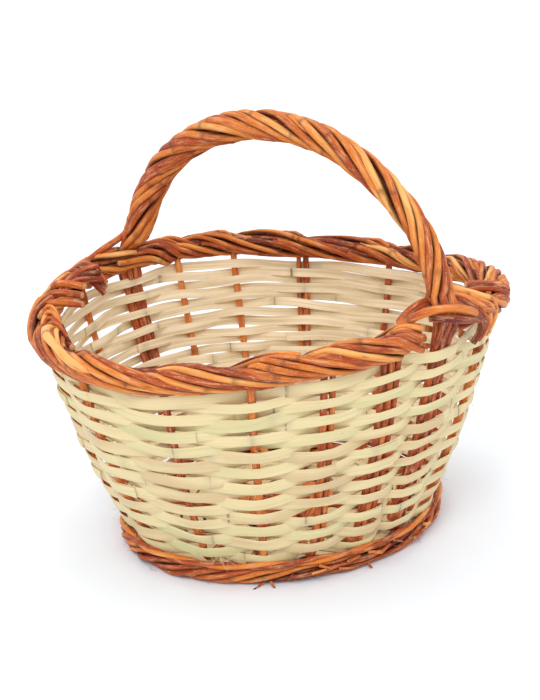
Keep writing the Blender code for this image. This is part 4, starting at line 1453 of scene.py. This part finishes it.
    def fibre(self, bundle, start, way, reach):
        """A thin fibre that starts at a point and curls away."""
        draw = bundle.random
        curl = Vector((draw.uniform(-1, 1), draw.uniform(-1, 1), draw.uniform(-0.6, 0.9)))
        line = [start]
        for share in (0.35, 0.7, 1.0):
            bend = reach * self.FIBRE_CURL_SHARE * share * share
            line.append(start + way * (reach * share) + curl * bend)
        tone = draw.uniform(0.3, 0.9)
        thin = self.FIBRE_RADIUS * self.FIBRE_END_SHARE
        bundle.rod(line, self.FIBRE_RADIUS, tone, thin, sides=5, wobble=0.0, floor=0.0)

    def fibres(self, context):
        """Fibres that stand off the cane's edges, most of them low on the side."""
        bundle = Bundle(410)
        draw = bundle.random
        for _ in range(self.FIBRES):
            turn = draw.uniform(0, math.tau)
            share = draw.choice((draw.uniform(0.03, 0.12), draw.uniform(0.03, 0.9)))
            out, side, rise = wall_frame(turn, share)
            face = draw.choice((1, 1, 1, -1))
            start = wall_point(turn, share) + out * (self.CANE_FACE * face)
            way = out * face * draw.uniform(0.1, 0.5) + side * draw.uniform(-1, 1)
            way += rise * draw.uniform(-1, 0.4)
            self.fibre(bundle, start, way.normalized(), draw.uniform(*self.FIBRE_LENGTHS))
        for _ in range(self.TUFT_FIBRES):
            turn = math.radians(draw.uniform(*self.TUFT_DEGREES))
            out, side, rise = wall_frame(turn, self.TUFT_SHARE)
            start = wall_point(turn, self.TUFT_SHARE) + out * self.TUFT_FACE
            way = out * draw.uniform(0.2, 0.5) + side * draw.uniform(-0.6, 0.6)
            way -= rise * draw.uniform(0.3, 1)
            self.fibre(bundle, start, way.normalized(), draw.uniform(*self.TUFT_LENGTHS))
        bundle.finish(context, "loose_fibres", "cane")

    def splinters(self, context):
        """Short splinters of bark on the border and the foot."""
        bundle = Bundle(430)
        draw = bundle.random
        for _ in range(self.BORDER_SPLINTERS):
            place = draw.uniform(0, PLACES)
            start = border_point(place, draw.uniform(-0.6, 2.6), self.BORDER_FACE)
            away = (start - wall_point(turn_at(place), 1.0)).normalized()
            self.splinter(bundle, start, away, wall_frame(turn_at(place))[1])
        for _ in range(self.FOOT_SPLINTERS):
            turn = draw.uniform(0, math.tau)
            out, side, _ = wall_frame(turn, 0.0)
            start = foot_point(turn, draw.uniform(0.003, 0.014)) + out * self.FOOT_FACE
            self.splinter(bundle, start, out, side)
        bundle.finish(context, "splinters", "willow")

    def splinter(self, bundle, start, away, side):
        draw = bundle.random
        way = (away * draw.uniform(0.2, 0.8) + side * draw.choice((-1, 1))).normalized()
        self.fibre(bundle, start, way, draw.uniform(*self.SPLINTER_LENGTHS))

    def stubs(self, context):
        """Broken ends of rods that stick out of the foot, and slivers laid round it."""
        bundle = Bundle(420)
        draw = bundle.random
        for degrees, up_by, reach in self.STUBS:
            turn = math.radians(degrees)
            out, side, _ = wall_frame(turn, 0.0)
            way = (out + side * draw.uniform(-0.9, 0.9)).normalized()
            start = foot_point(turn, up_by) + out * self.STUB_DEPTH
            line = [start, start + way * reach * 0.5, start + way * reach]
            bundle.rod(line, self.STUB_RADIUS, draw.uniform(0.2, 0.6), self.STUB_END_RADIUS, floor=0.0)
        for _ in range(self.SLIVERS):
            turn = math.radians(draw.uniform(*self.SLIVER_DEGREES))
            step = math.radians(draw.uniform(*self.SLIVER_SPAN))
            height = draw.uniform(*self.SLIVER_HEIGHTS)
            rise = draw.uniform(-self.SLIVER_RISE, self.SLIVER_RISE)
            line = []
            for share in (0.0, 0.5, 1.0):
                at = turn + step * share
                out = outward(at, FOOT_HALF_LENGTH, FOOT_HALF_WIDTH)
                around = math.acos(min(1.0, (height + rise * share) / self.FOOT_TOP) * 2 - 1)
                away = out * math.sin(around) + UP * math.cos(around)
                line.append(foot_point(at, self.FOOT_MIDDLE) + away * self.SLIVER_REACH)
            radius, tone = draw.uniform(*self.SLIVER_RADII), draw.uniform(0.0, 1.0)
            bundle.rod(line, radius, tone, self.SLIVER_END_RADIUS, floor=0.0)
        bundle.finish(context, "foot_stubs", "willow")


class BASKET_OT_stage(bpy.types.Operator):
    """Plain floor, soft lights and the camera"""

    bl_idname = "basket.stage"
    bl_label = "Stage"

    FLOOR_SIZE = 1.9
    FLOOR_DROP = 0.0003
    FLOOR_COLOUR = (0.835, 0.88, 0.945)
    CAMERA_TURN = math.radians(-44.6735)
    CAMERA_RAISE = math.radians(17.7164)
    CAMERA_ROLL = math.radians(-3.2213)
    CAMERA_DISTANCE = 1.3925
    TARGET_HEIGHT = 0.16
    LENS = 84.89
    SHIFT = (-0.0047, -0.0143)
    SENSOR_WIDTH, FAR_CLIP = 36.0, 100.0
    WORLD_STRENGTH = 1.17
    LIGHT_TARGET_HEIGHT = 0.15
    # Each light's name, place, size and power
    LIGHTS = (
        ("key", (-1.7, -1.1, 2.0), 0.8, 18.0),
        ("fill", (1.8, -1.4, 1.5), 1.2, 1.2),
        ("top", (0.2, 0.3, 2.3), 0.9, 7.0),
    )

    def execute(self, context):
        self.floor(context)
        self.camera(context)
        self.lights(context)
        return {"FINISHED"}

    def floor(self, context):
        half = self.FLOOR_SIZE / 2
        mesh = bpy.data.meshes.new("floor")
        ways = ((-1, -1), (1, -1), (1, 1), (-1, 1))
        corners = [(half * x, half * y, -self.FLOOR_DROP) for x, y in ways]
        mesh.from_pydata(corners, [], [(0, 1, 2, 3)])
        mesh.materials.append(plain_material("floor_white", self.FLOOR_COLOUR, 0.9))
        floor = bpy.data.objects.new("floor", mesh)
        context.scene.collection.objects.link(floor)

    def camera(self, context):
        turn, lift, roll = self.CAMERA_TURN, self.CAMERA_RAISE, self.CAMERA_ROLL
        back = Vector((math.sin(turn) * math.cos(lift), -math.cos(turn) * math.cos(lift), math.sin(lift)))
        right = Vector((math.cos(turn), math.sin(turn), 0))
        up = back.cross(right)
        rolled_right = right * math.cos(roll) + up * math.sin(roll)
        rolled_up = up * math.cos(roll) - right * math.sin(roll)
        data = bpy.data.cameras.new("camera")
        data.sensor_width = self.SENSOR_WIDTH
        data.lens = self.LENS
        data.shift_x, data.shift_y = self.SHIFT
        data.clip_end = self.FAR_CLIP
        camera = bpy.data.objects.new("camera", data)
        where = Vector((0, 0, self.TARGET_HEIGHT)) + back * self.CAMERA_DISTANCE
        axes = Matrix((rolled_right, rolled_up, back)).transposed()
        camera.matrix_world = Matrix.Translation(where) @ axes.to_4x4()
        context.scene.collection.objects.link(camera)
        context.scene.camera = camera

    def lights(self, context):
        world = bpy.data.worlds.new("studio")
        world.use_nodes = True
        background = world.node_tree.nodes["Background"]
        background.inputs["Color"].default_value = (1.0, 1.0, 1.0, 1.0)
        background.inputs["Strength"].default_value = self.WORLD_STRENGTH
        context.scene.world = world
        context.scene.view_settings.view_transform = "Standard"
        for light in self.LIGHTS:
            self.area_light(context, *light)

    def area_light(self, context, name, place, size, power):
        data = bpy.data.lights.new(name, "AREA")
        data.size = size
        data.energy = power
        light = bpy.data.objects.new(name, data)
        light.location = place
        toward = Vector((0, 0, self.LIGHT_TARGET_HEIGHT)) - Vector(place)
        light.rotation_euler = toward.to_track_quat("-Z", "Y").to_euler()
        context.scene.collection.objects.link(light)


class BASKET_PT_panel(bpy.types.Panel):
    """The basket's pieces and their settings"""

    bl_label = "Foraging Basket"
    bl_idname = "BASKET_PT_panel"
    bl_space_type = "VIEW_3D"
    bl_region_type = "UI"
    bl_category = "Basket"

    def draw(self, context):
        for name in ("basket_willow", "basket_cane", "basket_handle"):
            settings = getattr(context.scene, name)
            box = self.layout.box()
            for field in settings.__annotations__:
                box.prop(settings, field)
        for operator in OPERATORS:
            self.layout.operator(operator.bl_idname)


SETTINGS = {"basket_willow": WillowSettings, "basket_cane": CaneSettings, "basket_handle": HandleSettings}
OPERATORS = (
    BASKET_OT_base,
    BASKET_OT_foot,
    BASKET_OT_stakes,
    BASKET_OT_cane,
    BASKET_OT_handle,
    BASKET_OT_loose,
    BASKET_OT_stage,
)


def register():
    for settings in SETTINGS.values():
        bpy.utils.register_class(settings)
    for name, settings in SETTINGS.items():
        setattr(bpy.types.Scene, name, PointerProperty(type=settings))
    for operator in OPERATORS:
        bpy.utils.register_class(operator)
    bpy.utils.register_class(BASKET_PT_panel)


def unregister():
    bpy.utils.unregister_class(BASKET_PT_panel)
    for operator in reversed(OPERATORS):
        bpy.utils.unregister_class(operator)
    for name, settings in SETTINGS.items():
        delattr(bpy.types.Scene, name)
        bpy.utils.unregister_class(settings)


def main():
    register()
    bpy.ops.basket.base()
    bpy.ops.basket.foot()
    bpy.ops.basket.stakes()
    bpy.ops.basket.cane()
    bpy.ops.basket.handle()
    bpy.ops.basket.loose()
    bpy.ops.basket.stage()


if __name__ == "__main__":
    main()
